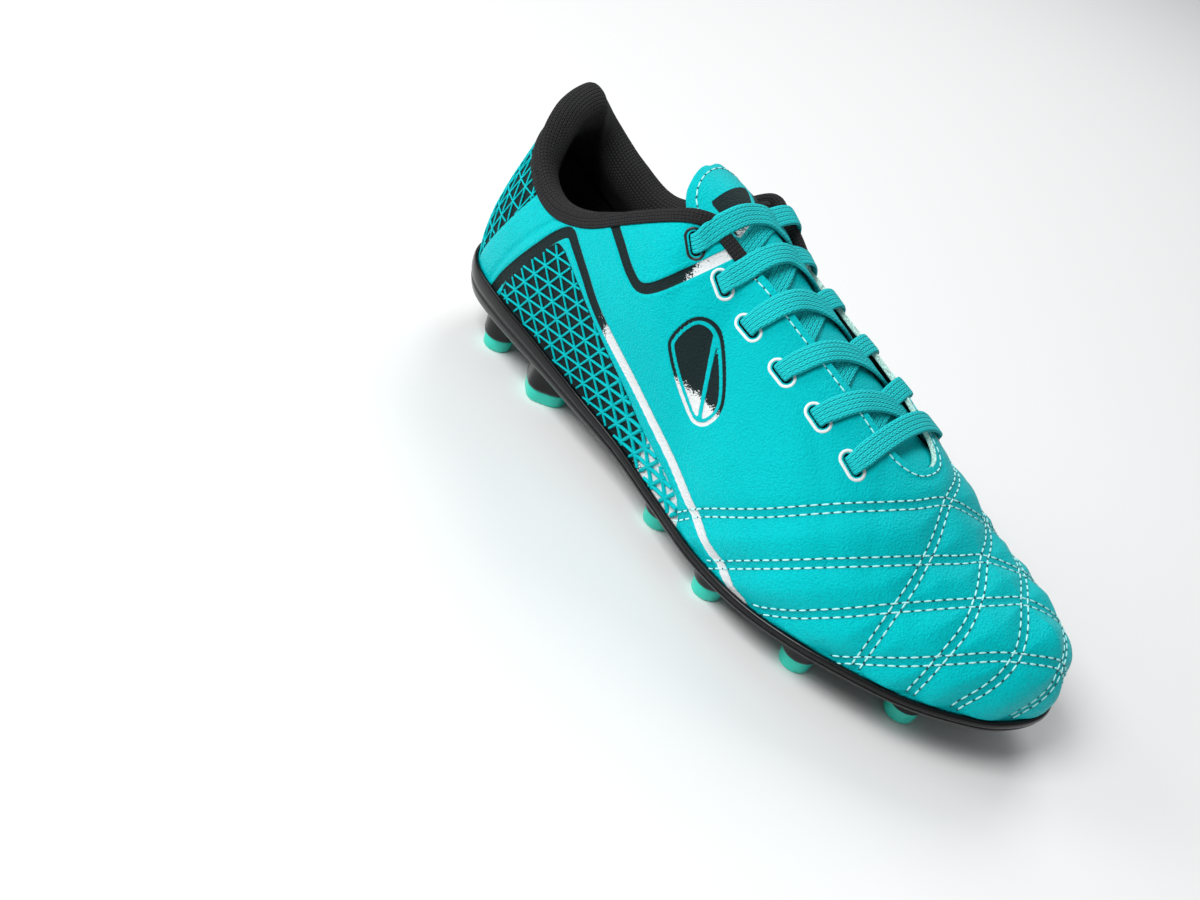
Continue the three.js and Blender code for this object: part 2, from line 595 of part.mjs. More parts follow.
addMesh('upper', buildUpperCut(), turquoise, 0.45);
addMesh('outsole', buildOutsole(), black, 0.22);
addMesh('insole', buildInsole(), '#15171a', 0.85);
addMesh('collar_lining', buildCollar(), '#101114', 0.9);
addMesh('tongue', buildTongue(), turquoise, 0.5);
for (const stud of roundStuds) addMesh(`stud_tip_${stud[0]}`, roundTip(stud), tealGreen, 0.35);
for (const stud of bladeStuds) addMesh(`stud_tip_${stud[0]}`, bladeTip(stud), tealGreen, 0.35);
for (let i = 0; i < eyeletsLateral.length - 1; i += 1) {
  addMesh(`lace_crossing_${i + 1}`, buildCrossing(i), '#12c4c6', 0.8);
}
addMesh('lace_bar', ribbon(eyeletsLateral[5], eyeletsMedial[5], barPath), '#12c4c6', 0.8);

// The middle of the box is put on X = 0 and Y = 0, the stud tips stay on Z = 0
const box = new THREE.Box3().setFromObject(group);
group.position.set(-(box.min.x + box.max.x) / 2, -(box.min.y + box.max.y) / 2, -box.min.z);

export default group;
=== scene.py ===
import math

import bmesh
import bpy
import numpy as np
from mathutils import Matrix, Vector
from mathutils.bvhtree import BVHTree


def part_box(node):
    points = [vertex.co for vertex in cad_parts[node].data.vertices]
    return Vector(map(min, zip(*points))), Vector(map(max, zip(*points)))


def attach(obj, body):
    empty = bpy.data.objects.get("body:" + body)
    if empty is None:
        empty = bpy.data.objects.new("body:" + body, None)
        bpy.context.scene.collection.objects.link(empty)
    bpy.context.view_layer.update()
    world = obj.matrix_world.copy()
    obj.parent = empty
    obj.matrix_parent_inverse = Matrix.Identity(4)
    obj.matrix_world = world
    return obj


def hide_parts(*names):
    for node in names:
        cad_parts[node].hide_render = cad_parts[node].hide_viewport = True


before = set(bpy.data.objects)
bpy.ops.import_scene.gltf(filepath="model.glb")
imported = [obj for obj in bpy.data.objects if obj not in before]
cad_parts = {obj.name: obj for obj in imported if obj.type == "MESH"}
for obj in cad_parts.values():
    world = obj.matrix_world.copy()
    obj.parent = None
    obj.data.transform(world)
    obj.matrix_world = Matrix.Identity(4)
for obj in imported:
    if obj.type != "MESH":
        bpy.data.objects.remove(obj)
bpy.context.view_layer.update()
mm = 0.001

# Shapes below are in the shoe's own millimetres. The rear lateral stud stands at (-107, -16) there,
# which gives the shift into the frame.
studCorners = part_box("stud_tip_heel_lateral")
shift = (studCorners[0] + studCorners[1]) / 2 - Vector((-107, -16, 0)) * mm
shift.z = 0
print("frame loaded, shift", [round(v / mm, 3) for v in shift])

# Camera at the photograph's angle to the shoe, rolled, because the shoe stands level here
cameraLook = {"place": (179.17, -389.36, 307.92), "rightAxis": (0.6645, 0.6714, 0.3282),
              "viewAxis": (-0.4177, 0.6979, -0.5818), "lens": 42.81}
cameraData = bpy.data.cameras.new("camera")
cameraData.lens = cameraLook["lens"]
cameraData.sensor_width = 36
cameraData.clip_start = 0.02
cameraData.clip_end = 50
camera = bpy.data.objects.new("camera", cameraData)
bpy.context.scene.collection.objects.link(camera)
viewAxis = Vector(cameraLook["viewAxis"]).normalized()
upAxis = Vector(cameraLook["rightAxis"]).cross(viewAxis).normalized()
rightAxis = viewAxis.cross(upAxis)
camera.matrix_world = Matrix.Translation(Vector(cameraLook["place"]) * mm + shift) @ Matrix(
    (rightAxis, upAxis, -viewAxis)).transposed().to_4x4()
bpy.context.scene.camera = camera

# Section table of the last, heel to toe. x, lx, mx and spine are shares of the foot length, lat, med, ly
# and my of the ball width, feather, lz and mz of the heel height; rim and tuck are millimetres.
last = {"footLength": 267, "ballWidth": 92.5, "heelHeight": 104.8, "wall": 1.8, "gap": 0.3,
        "floorThick": 3, "insoleThick": 3.2, "rimThick": 1.9, "rimLip": 1.2, "lipWidth": 3.6, "lipStep": 1.0}
columns = ["x", "lat", "med", "feather", "lx", "ly", "lz", "mx", "my", "mz",
           "lean", "flare", "wall", "crown", "rim", "tuck", "spine"]
sections = [
    [-0.498, 0, 0, 0.299, -0.454, 0, 0.985, -0.454, 0, 0.985, 80, 8, 0.34, 0.34, 14, 3.4],
    [-0.487, -0.167, 0.156, 0.299, -0.45, -0.144, 0.916, -0.452, 0.114, 0.932, 80, 8, 0.34, 0.34, 14, 3.4],
    [-0.45, -0.267, 0.261, 0.289, -0.421, -0.256, 0.79, -0.427, 0.2, 0.842, 78, 8, 0.34, 0.34, 13.4, 3.2],
    [-0.385, -0.311, 0.317, 0.275, -0.363, -0.306, 0.716, -0.371, 0.232, 0.77, 74, 8, 0.34, 0.34, 12.4, 3],
    [-0.3, -0.328, 0.322, 0.25, -0.296, -0.322, 0.76, -0.3, 0.247, 0.737, 72, 8, 0.36, 0.34, 10.6, 2.6],
    [-0.2, -0.35, 0.306, 0.22, -0.221, -0.317, 0.902, -0.225, 0.256, 0.853, 66, 8, 0.38, 0.33, 8.4, 2.2],
    [-0.1, -0.372, 0.3, 0.191, -0.146, -0.272, 1.034, -0.156, 0.228, 1.015, 58, 8, 0.38, 0.3, 6.6, 1.8],
    [-0.008, -0.422, 0.322, 0.167, -0.1, 0, 1.074, -0.1, 0, 1.074, 8, 8, 0.42, 0.42, 5.4, 1.4],
    [0.085, -0.478, 0.378, 0.152, 0, 0, 0.946, 0, 0, 0.946, 0, 10, 0.46, 0.5, 4.8, 1.2],
    [0.173, -0.5, 0.444, 0.157, 0.123, 0.011, 0.809, 0.123, 0.011, 0.809, 0, 12, 0.51, 0.53, 4.4, 1.1],
    [0.254, -0.478, 0.478, 0.176, 0.231, 0.022, 0.672, 0.231, 0.022, 0.672, 0, 14, 0.55, 0.55, 4.2, 1],
    [0.323, -0.422, 0.478, 0.191, 0.315, 0.044, 0.559, 0.315, 0.044, 0.559, 0, 14, 0.56, 0.56, 4.2, 1],
    [0.385, -0.35, 0.45, 0.203, 0.369, 0.067, 0.515, 0.369, 0.067, 0.515, 0, 13, 0.56, 0.58, 4.3, 1.1],
    [0.438, -0.239, 0.378, 0.211, 0.408, 0.083, 0.492, 0.408, 0.083, 0.492, 0, 12, 0.56, 0.6, 4.6, 1.3],
    [0.479, -0.1, 0.278, 0.214, 0.431, 0.089, 0.476, 0.431, 0.089, 0.476, 0, 11, 0.56, 0.6, 5.1, 1.6],
    [0.5, 0.092, 0.092, 0.216, 0.438, 0.089, 0.4745, 0.438, 0.089, 0.4745, 0, 11, 0.56, 0.6, 5.4, 1.8],
]
spineShares = [-0.42, -0.415, -0.395, -0.355, -0.29, -0.2, -0.1, -0.008, 0.085, 0.173, 0.25, 0.315,
               0.365, 0.4, 0.418, 0.425]
for row, spineShare in zip(sections, spineShares):
    row.append(spineShare)
toeRow = len(sections) - 1
closeRow = 7
loopLength = 2 * toeRow
medialName = {"lat": "med", "lx": "mx", "ly": "my", "lz": "mz"}
sizeOf = {"x": "footLength", "lx": "footLength", "spine": "footLength", "lat": "ballWidth",
          "ly": "ballWidth", "feather": "heelHeight", "lz": "heelHeight"}


def loopColumn(name):
    lateral = [row[columns.index(name)] for row in sections]
    medial = [row[columns.index(medialName.get(name, name))] for row in sections]
    return np.array(lateral + medial[-2:0:-1]) * last.get(sizeOf.get(name), 1)


loop = {name: loopColumn(name) for name in columns if name not in medialName.values()}


def catmullRom(a, b, c, d, f):
    # Curve from b to c, with a and d as the neighbours
    return 0.5 * (2 * b + (c - a) * f + (2 * a - 5 * b + 4 * c - d) * f ** 2
                  + (3 * b - a - 3 * c + d) * f ** 3)


def smooth(u, name):
    u = np.asarray(u, float)
    i = np.floor(u).astype(int)
    a, b, c, d = (loop[name][(i + k) % loopLength] for k in (-1, 0, 1, 2))
    return catmullRom(a, b, c, d, u - i)


def stack(x, y, z):
    return np.stack(np.broadcast_arrays(x, y, z), -1)


def unit(v):
    return v / np.maximum(np.linalg.norm(v, axis=-1, keepdims=True), 1e-9)


def ease(x, low, high):
    f = np.clip((x - low) / (high - low), 0, 1)
    return f * f * (3 - 2 * f)


def featherPoint(u):
    return stack(smooth(u, "x"), smooth(u, "lat"), smooth(u, "feather"))


def outward(u):
    step = featherPoint(u + 0.001) - featherPoint(u - 0.001)
    return unit(stack(step[..., 1], -step[..., 0], 0 * step[..., 0]))


def rowOf(u):
    v = np.mod(u, loopLength)
    return np.minimum(v, loopLength - v)


def topPoint(u):
    own = stack(smooth(u, "lx"), smooth(u, "ly"), smooth(u, "lz"))
    mirror = loopLength - np.mod(u, loopLength)
    other = stack(smooth(mirror, "lx"), smooth(mirror, "ly"), smooth(mirror, "lz"))
    return np.where((rowOf(u) < closeRow)[..., None], own, (own + other) / 2)


def ridgeSlope(u):
    rows = np.arange(toeRow + 1)
    high = np.minimum(rows + 1, toeRow)
    low = np.minimum(np.maximum(rows - 1, closeRow), high - 1)
    slopes = (loop["lz"][high] - loop["lz"][low]) / (loop["lx"][high] - loop["lx"][low])
    slopes[:closeRow] = 0
    return np.interp(rowOf(u), rows, slopes)


def ribs(u):
    foot, top, out = featherPoint(u), topPoint(u), outward(u)
    lean = np.radians(np.maximum(smooth(u, "lean"), 0))[..., None]
    flare = np.radians(smooth(u, "flare"))[..., None]
    level = (top - foot) * [1, 1, 0]
    run = np.linalg.norm(level, axis=-1, keepdims=True)
    rise = (top - foot)[..., 2:]
    share = np.clip(1 - lean / math.radians(40), 0, 1)
    inward = unit(unit(level) * share + out * (share - 1))
    up = np.array([0, 0, 1.0])
    climb = inward[..., :1] * ridgeSlope(u)[..., None] * np.cos(lean) + np.sin(lean)
    reach = smooth(u, "crown")[..., None] * (run * np.cos(lean) + rise * np.sin(lean))
    low = foot + (out * np.sin(flare) + up * np.cos(flare)) * smooth(u, "wall")[..., None] * rise
    return foot, low, top - (inward * np.cos(lean) + up * climb) * reach, top


def onUpper(u, t):
    u, t = np.broadcast_arrays(np.asarray(u, float), np.asarray(t, float))
    a, b, c, d = ribs(u)
    t = t[..., None]
    return a * (1 - t) ** 3 + 3 * b * t * (1 - t) ** 2 + 3 * c * t * t * (1 - t) + d * t ** 3


def upperNormal(u, t):
    t = np.clip(t, 0.004, 0.996)
    along = onUpper(u + 0.004, t) - onUpper(np.asarray(u) - 0.004, t)
    return unit(np.cross(along, onUpper(u, t + 0.004) - onUpper(u, t - 0.004)))


def runLength(points):
    # Length along a line up to each of its points
    return np.concatenate([[0], np.cumsum(np.linalg.norm(np.diff(points, axis=0), axis=1))])


def sampled(points, length, at):
    return np.stack([np.interp(at, length, points[:, k]) for k in range(points.shape[1])], -1)


def curveThrough(points, step=1.0, closed=False):
    # Catmull-Rom through given points, cut into even steps of millimetres
    p = np.asarray(points, float)
    if closed:
        ring = np.vstack([p[-1:], p, p[:2]])
    else:
        ring = np.vstack([2 * p[:1] - p[1:2], p, 2 * p[-1:] - p[-2:-1]])
    f = np.linspace(0, 1, 24, endpoint=False)[:, None]
    parts = [catmullRom(a, b, c, d, f) for a, b, c, d in zip(ring[:-3], ring[1:-2], ring[2:-1], ring[3:])]
    dense = np.vstack(parts + [ring[-2:-1]])
    length = runLength(dense)
    at = np.linspace(0, length[-1], max(int(round(length[-1] / step)), 2) + 1)
    return sampled(dense, length, at)


def evenly(line, count):
    return sampled(line, np.arange(len(line)), np.linspace(0, len(line) - 1, count))


def drawn(path, medial=False, step=1.0):
    # A path of (row, share of the rib) on the lateral side, or on the medial side; rows past the toe row
    # lie on the other side
    rows, shares = np.array(path, float).T
    u = loopLength - rows if medial else rows
    return curveThrough(onUpper(u, shares), step)


def lineDistance(points, path, reach=12.0):
    # Distance from each point to a polyline, no more than reach
    flat = points.reshape(-1, 3)
    result = np.full(len(flat), reach)
    low, high = path.min(0) - reach, path.max(0) + reach
    near = np.where(np.all((flat > low) & (flat < high), axis=1))[0]
    a, ab = path[:-1], np.diff(path, axis=0)
    squared = np.maximum((ab ** 2).sum(1), 1e-9)
    for part in np.array_split(near, max(len(near) // 4000, 1)):
        offset = flat[part, None, :] - a[None]
        f = np.clip((offset * ab).sum(2) / squared, 0, 1)
        result[part] = np.minimum(np.linalg.norm(offset - f[..., None] * ab, axis=2).min(1), reach)
    return result.reshape(points.shape[:-1])


def outlineDistance(points, outline, axes=(0, 2)):
    # Signed distance in a side or plan view, negative inside the closed outline
    flat = points.reshape(-1, 3)[:, axes]
    ring = np.asarray(outline)[:, axes]
    a, b = ring, np.roll(ring, -1, axis=0)
    result = np.full(len(flat), 20.0)
    near = np.where(np.all((flat > ring.min(0) - 15) & (flat < ring.max(0) + 15), axis=1))[0]
    for part in np.array_split(near, max(len(near) // 4000, 1)):
        p = flat[part, None, :]
        ab = b - a
        f = np.clip(((p - a) * ab).sum(2) / np.maximum((ab ** 2).sum(1), 1e-9), 0, 1)
        distance = np.linalg.norm(p - a - f[..., None] * ab, axis=2).min(1)
        crosses = (a[:, 1] > p[..., 1]) != (b[:, 1] > p[..., 1])
        at = a[:, 0] + (p[..., 1] - a[:, 1]) * ab[:, 0] / np.where(np.abs(ab[:, 1]) < 1e-9, 1e-9, ab[:, 1])
        inside = (crosses & (p[..., 0] < at)).sum(1) % 2 == 1
        result[part] = np.where(inside, -distance, distance)
    return result.reshape(points.shape[:-1])


def addPiece(name, points, faces, materials, faceMaterial=None, shadeSmooth=True):
    mesh = bpy.data.meshes.new(name)
    points = np.asarray(points, float).reshape(-1, 3)
    used = np.unique(np.concatenate([np.asarray(f).ravel() for f in faces]))
    remap = np.full(len(points), -1)
    remap[used] = np.arange(len(used))
    corners = [remap[np.asarray(group)] for group in faces if len(group)]
    mesh.from_pydata((points[used] * mm + np.array(shift)).tolist(), [],
                     [face for group in corners for face in group.tolist()])
    for material in materials:
        mesh.materials.append(material)
    if faceMaterial is not None:
        mesh.polygons.foreach_set("material_index", np.asarray(faceMaterial, np.int32))
    mesh.polygons.foreach_set("use_smooth", np.full(len(mesh.polygons), shadeSmooth))
    mesh.validate()
    mesh.update()
    piece = bpy.data.objects.new(name, mesh)
    bpy.context.scene.collection.objects.link(piece)
    return piece, used


def sealed(piece, distance=0.03):
    # Closes poles and middle lines, where vertices lie on each other
    work = bmesh.new()
    work.from_mesh(piece.data)
    bmesh.ops.remove_doubles(work, verts=work.verts, dist=distance * mm)
    work.to_mesh(piece.data)
    work.free()
    return piece


def gridFaces(ids, wrapRows=False, wrapColumns=False, flip=False):
    # Quads over a grid of vertex numbers
    grid = np.vstack([ids, ids[:1]]) if wrapRows else ids
    grid = np.hstack([grid, grid[:, :1]]) if wrapColumns else grid
    quads = np.stack([grid[:-1, :-1], grid[1:, :-1], grid[1:, 1:], grid[:-1, 1:]], -1).reshape(-1, 4)
    return quads[:, ::-1] if flip else quads


def numbered(grid):
    return np.arange(grid.shape[0] * grid.shape[1]).reshape(grid.shape[:2])


def skin(grid):
    # Points and faces of a grid whose rows go once round
    return grid.reshape(-1, 3), gridFaces(numbered(grid), True)


def addTube(name, grid, material, flip=False):
    # A skin round the grid's columns, with both ends capped
    ids = numbered(grid)
    caps = [ids[:1, ::-1], ids[-1:]] if flip else [ids[:1], ids[-1:, ::-1]]
    return addPiece(name, grid.reshape(-1, 3), [gridFaces(ids, False, True, flip)] + caps, [material])[0]


def setField(piece, name, values):
    attribute = piece.data.attributes.new(name, "FLOAT", "POINT")
    attribute.data.foreach_set("value", np.asarray(values, np.float32).ravel())


def setKnitFields(piece, grid, run):
    # Millimetres round each ring and along the piece, which the knit follows
    girth = np.linalg.norm(np.roll(grid, -1, axis=1) - grid, axis=2)
    setField(piece, "across", np.cumsum(girth, 1) - girth)
    setField(piece, "along", np.repeat(run[:, None], grid.shape[1], 1))


def placed(piece, slot, *nodes):
    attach(piece, "root")
    if nodes:
        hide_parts(*nodes)
    return piece


# Materials
def addNode(tree, kind, inputs=None, **settings):
    node = tree.nodes.new(kind)
    for key, value in settings.items():
        setattr(node, key, value)
    for key, value in (inputs or {}).items():
        if isinstance(value, bpy.types.NodeSocket):
            tree.links.new(value, node.inputs[key])
        else:
            node.inputs[key].default_value = value
    return node


def calc(tree, operation, *values):
    return addNode(tree, "ShaderNodeMath", dict(enumerate(values)), operation=operation).outputs[0]


def mixed(tree, a, shareOfA, b, shareOfB):
    return calc(tree, "ADD", calc(tree, "MULTIPLY", a, shareOfA), calc(tree, "MULTIPLY", b, shareOfB))


def noise(tree, place, scale, detail=2):
    inputs = {"Vector": place, "Scale": scale, "Detail": detail}
    return addNode(tree, "ShaderNodeTexNoise", inputs).outputs


def blend(tree, factor, a, b):
    return addNode(tree, "ShaderNodeMix", {0: factor, 6: a, 7: b}, data_type="RGBA").outputs[2]


def between(tree, value, low, high):
    node = addNode(tree, "ShaderNodeMapRange", {"Value": value, "From Min": low, "From Max": high})
    node.interpolation_type = "SMOOTHSTEP"
    return node.outputs["Result"]


def field(tree, name):
    return addNode(tree, "ShaderNodeAttribute", attribute_name=name).outputs["Fac"]


def objectPlace(tree):
    return addNode(tree, "ShaderNodeTexCoord").outputs["Object"]


def newGroup(name, inputs, outputs):
    # An input has a number as its value, or None for a vector
    group = bpy.data.node_groups.new(name, "ShaderNodeTree")
    for label, value in inputs.items():
        kind = "NodeSocketVector" if value is None else "NodeSocketFloat"
        socket = group.interface.new_socket(label, in_out="INPUT", socket_type=kind)
        if value is not None:
            socket.default_value = value
    for label in outputs:
        kind = "NodeSocketColor" if label == "Color" else "NodeSocketFloat"
        group.interface.new_socket(label, in_out="OUTPUT", socket_type=kind)
    return group, group.nodes.new("NodeGroupInput").outputs, group.nodes.new("NodeGroupOutput").inputs


def useGroup(tree, group, **inputs):
    return addNode(tree, "ShaderNodeGroup", inputs, node_tree=group).outputs


def makePebbleGrain():
    # Rounded leather pebbles with finer pores between them
    group, given, out = newGroup("pebbleGrain", {"Place": None, "Size": 1.1}, ["Height", "Tone"])
    scale = calc(group, "DIVIDE", 1000, given["Size"])
    warp = noise(group, given["Place"], 320)["Color"]
    shiftBy = addNode(group, "ShaderNodeVectorMath", {0: warp, 1: (0.0004, 0.0004, 0.0004)},
                      operation="MULTIPLY").outputs[0]
    place = addNode(group, "ShaderNodeVectorMath", {0: given["Place"], 1: shiftBy},
                    operation="ADD").outputs[0]
    cells = addNode(group, "ShaderNodeTexVoronoi", {"Vector": place, "Scale": scale, "Smoothness": 0.7},
                    feature="SMOOTH_F1").outputs["Distance"]
    fine = noise(group, place, calc(group, "MULTIPLY", scale, 2.2), 3)["Fac"]
    pebble = calc(group, "SUBTRACT", 1, cells)
    group.links.new(mixed(group, pebble, 0.75, fine, 0.35), out["Height"])
    wide = noise(group, given["Place"], 18, 3)["Fac"]
    group.links.new(mixed(group, wide, 0.6, pebble, 0.4), out["Tone"])
    return group


def makePrintInk():
    # Black print that breaks up through specks into white; Ink runs from 0, black, to 1, white
    group, given, out = newGroup("printInk", {"Place": None, "Ink": 0.0}, ["Color"])
    specks = noise(group, given["Place"], 2100)["Fac"]
    patches = noise(group, given["Place"], 420)["Fac"]
    limit = mixed(group, specks, 0.65, patches, 0.35)
    ink = calc(group, "MULTIPLY_ADD", given["Ink"], 0.62, 0.19)
    white = between(group, calc(group, "SUBTRACT", ink, limit), -0.015, 0.02)
    colour = blend(group, white, (0.012, 0.012, 0.013, 1), (0.74, 0.76, 0.77, 1))
    group.links.new(colour, out["Color"])
    return group


def makeKnit():
    # Columns of knitted V stitches; Across and Along are millimetres on the piece
    numbers = {"Across": 0.0, "Along": 0.0, "Column": 1.4, "Stitch": 1.5, "Slant": 0.5}
    group, given, out = newGroup("knitColumns", numbers, ["Height", "Shade"])
    turn = calc(group, "FRACT", calc(group, "DIVIDE", given["Across"], given["Column"]))
    side = calc(group, "MULTIPLY", calc(group, "ABSOLUTE", calc(group, "SUBTRACT", turn, 0.5)), 2)
    slant = calc(group, "MULTIPLY", side, given["Slant"])
    run = calc(group, "ADD", calc(group, "DIVIDE", given["Along"], given["Stitch"]), slant)
    swing = calc(group, "SINE", calc(group, "MULTIPLY", run, 2 * math.pi))
    wave = calc(group, "POWER", calc(group, "MULTIPLY_ADD", swing, 0.5, 0.5), 0.6)
    column = calc(group, "SUBTRACT", 1, calc(group, "POWER", side, 3))
    valley = calc(group, "SUBTRACT", 1, calc(group, "POWER", calc(group, "SUBTRACT", 1, side), 6))
    body = calc(group, "MULTIPLY", column, calc(group, "MULTIPLY_ADD", valley, 0.5, 0.5))
    body = calc(group, "MULTIPLY", body, calc(group, "MULTIPLY_ADD", wave, 0.65, 0.35))
    group.links.new(body, out["Height"])
    # Shade, low in the valleys between the stitches, gives the cloth its painted shade
    group.links.new(calc(group, "POWER", body, 0.7), out["Shade"])
    return group


pebbleGrain, printInk, knitColumns = makePebbleGrain(), makePrintInk(), makeKnit()
turquoise = {"base": (0.0, 0.47, 0.50, 1), "deep": (0.0, 0.27, 0.30, 1), "pale": (0.0, 0.60, 0.63, 1)}


def newMaterial(name, colour, roughness, **numbers):
    material = bpy.data.materials.new(name)
    material.use_nodes = True
    material.diffuse_color = colour
    shader = material.node_tree.nodes["Principled BSDF"]
    shader.inputs["Base Color"].default_value = colour
    shader.inputs["Roughness"].default_value = roughness
    for key, value in numbers.items():
        shader.inputs[key.replace("_", " ")].default_value = value
    return material, material.node_tree, shader


def bump(tree, shader, height, distance, strength=1.0, before=None):
    inputs = {"Height": height, "Distance": distance, "Strength": strength}
    if before is not None:
        inputs["Normal"] = before
    normal = addNode(tree, "ShaderNodeBump", inputs).outputs["Normal"]
    tree.links.new(normal, shader.inputs["Normal"])
    return normal


def leatherMaterial(name, printed):
    material, tree, shader = newMaterial(name, turquoise["base"], 0.5, Specular_IOR_Level=0.2,
                                         Specular_Tint=(0.15, 1, 1, 1))
    place = objectPlace(tree)
    grain = useGroup(tree, pebbleGrain, Place=place, Size=0.66)
    tone = between(tree, grain["Tone"], 0.35, 0.85)
    colour = blend(tree, tone, turquoise["base"], turquoise["pale"])
    tree.links.new(calc(tree, "MULTIPLY_ADD", grain["Tone"], -0.16, 0.58), shader.inputs["Roughness"])
    if not printed:
        tree.links.new(colour, shader.inputs["Base Color"])
        bump(tree, shader, grain["Height"], 0.0005, 0.8)
        return material
    paint = between(tree, field(tree, "paintDist"), 0.12, -0.12)
    # painted shade: within a few millimetres of the seams the leather darkens towards the deep turquoise,
    # for the shade in the sunken stitched valleys
    seam = between(tree, field(tree, "seamDist"), 3.2, 0.4)
    colour = blend(tree, calc(tree, "MULTIPLY", seam, 0.35), colour, turquoise["deep"])
    ink = useGroup(tree, printInk, Place=place, Ink=field(tree, "ink"))
    tree.links.new(blend(tree, paint, colour, ink["Color"]), shader.inputs["Base Color"])
    rough = calc(tree, "MULTIPLY_ADD", grain["Tone"], -0.16, calc(tree, "MULTIPLY_ADD", paint, 0.08, 0.58))
    tree.links.new(rough, shader.inputs["Roughness"])
    step = between(tree, field(tree, "paintDist"), -0.35, 0.25)
    first = bump(tree, shader, step, 0.0003, 0.8)
    bump(tree, shader, grain["Height"], 0.0005, 0.8, first)
    return material


def fabricMaterial(name, colours, columnWide, stitchLong, depth, roughness=0.85, slant=0.5):
    # Knitted or woven cloth along the piece's own across and along fields
    material, tree, shader = newMaterial(name, colours[1], roughness, Specular_IOR_Level=0.3)
    knit = useGroup(tree, knitColumns, Across=field(tree, "across"), Along=field(tree, "along"),
                    Column=columnWide, Stitch=stitchLong, Slant=slant)
    fluff = noise(tree, objectPlace(tree), 1600, 3)["Fac"]
    # the colour runs from the first colour in the knit's valleys to the second on the raised stitches:
    # painted shade in the valleys, painted highlight on the stitches
    shade = calc(tree, "MULTIPLY", knit["Shade"], calc(tree, "MULTIPLY_ADD", fluff, 0.5, 0.72))
    tree.links.new(blend(tree, shade, colours[0], colours[1]), shader.inputs["Base Color"])
    bump(tree, shader, calc(tree, "MULTIPLY_ADD", fluff, 0.12, knit["Height"]), depth, 0.9)
    return material


def plasticMaterial(name, colour, roughness, texture=0.00003, coat=0.0, worn=0.0, shine=0.5):
    material, tree, shader = newMaterial(name, colour, roughness, Coat_Weight=coat, Coat_Roughness=0.08,
                                         Specular_IOR_Level=shine)
    place = objectPlace(tree)
    fine, wide = noise(tree, place, 700, 4)["Fac"], noise(tree, place, 34, 3)["Fac"]
    lighter = tuple(min(c * 1.18 + 0.003, 1) for c in colour[:3]) + (1,)
    tone = between(tree, wide, 0.35, 0.7)
    tree.links.new(blend(tree, tone, colour, lighter), shader.inputs["Base Color"])
    rough = calc(tree, "MULTIPLY_ADD", wide, 0.1 + worn, roughness - 0.05)
    tree.links.new(rough, shader.inputs["Roughness"])
    bump(tree, shader, fine, texture, 0.6)
    return material


def plainFabricMaterial(name, colour, threadSize, roughness=0.9):
    # Fine tricot that needs no direction: small rounded cells
    material, tree, shader = newMaterial(name, colour, roughness, Specular_IOR_Level=0.2)
    place = objectPlace(tree)
    cells = addNode(tree, "ShaderNodeTexVoronoi", {"Vector": place, "Scale": 1000 / threadSize},
                    distance="CHEBYCHEV").outputs["Distance"]
    lighter = tuple(c * 2.2 + 0.004 for c in colour[:3]) + (1,)
    tone = between(tree, cells, 0.75, 0.1)
    tree.links.new(blend(tree, tone, colour, lighter), shader.inputs["Base Color"])
    bump(tree, shader, calc(tree, "SUBTRACT", 1, cells), 0.0002, 0.7)
    return material


upperLeather = leatherMaterial("upperLeather", True)
plainLeather = leatherMaterial("plainLeather", False)
collarMesh = fabricMaterial("collarMesh", ((0.001, 0.001, 0.001, 1), (0.05, 0.05, 0.052, 1)),
                            1.35, 1.35, 0.0016)
laceWeave = fabricMaterial("laceWeave", ((0.0, 0.33, 0.36, 1), (0.005, 0.86, 0.89, 1)),
                           1.5, 2.0, 0.0007, 0.75, 0.9)
bindingWeave = fabricMaterial("bindingWeave", ((0.001, 0.001, 0.001, 1), (0.038, 0.038, 0.04, 1)),
                              1.2, 1.3, 0.0012)
liningFabric = plainFabricMaterial("liningFabric", (0.009, 0.009, 0.010, 1), 0.8)
insoleFabric = plainFabricMaterial("insoleFabric", (0.010, 0.010, 0.011, 1), 0.9)
foamEdge = plainFabricMaterial("foamEdge", (0.30, 0.46, 0.42, 1), 0.6)
soleGloss = plasticMaterial("soleGloss", (0.0025, 0.0025, 0.003, 1), 0.2, 0.00002, 0.0, 0.0, 0.3)
tipPlastic = plasticMaterial("tipPlastic", (0.016, 0.60, 0.46, 1), 0.34, 0.00003, 0.1, 0.1)
threadPale = plasticMaterial("threadPale", (0.42, 0.82, 0.82, 1), 0.6, 0.00012)
# near-black teal of the needle-hole beads: the hole, darkened as painted shade beside each stitch
needleHoleShade = plasticMaterial("needleHoleShade", (0.0, 0.06, 0.07, 1), 0.7, 0.0001)
ringWhite = plasticMaterial("ringWhite", (0.74, 0.77, 0.77, 1), 0.45)
ringBlack = plasticMaterial("ringBlack", (0.008, 0.008, 0.009, 1), 0.35)
print("materials made")

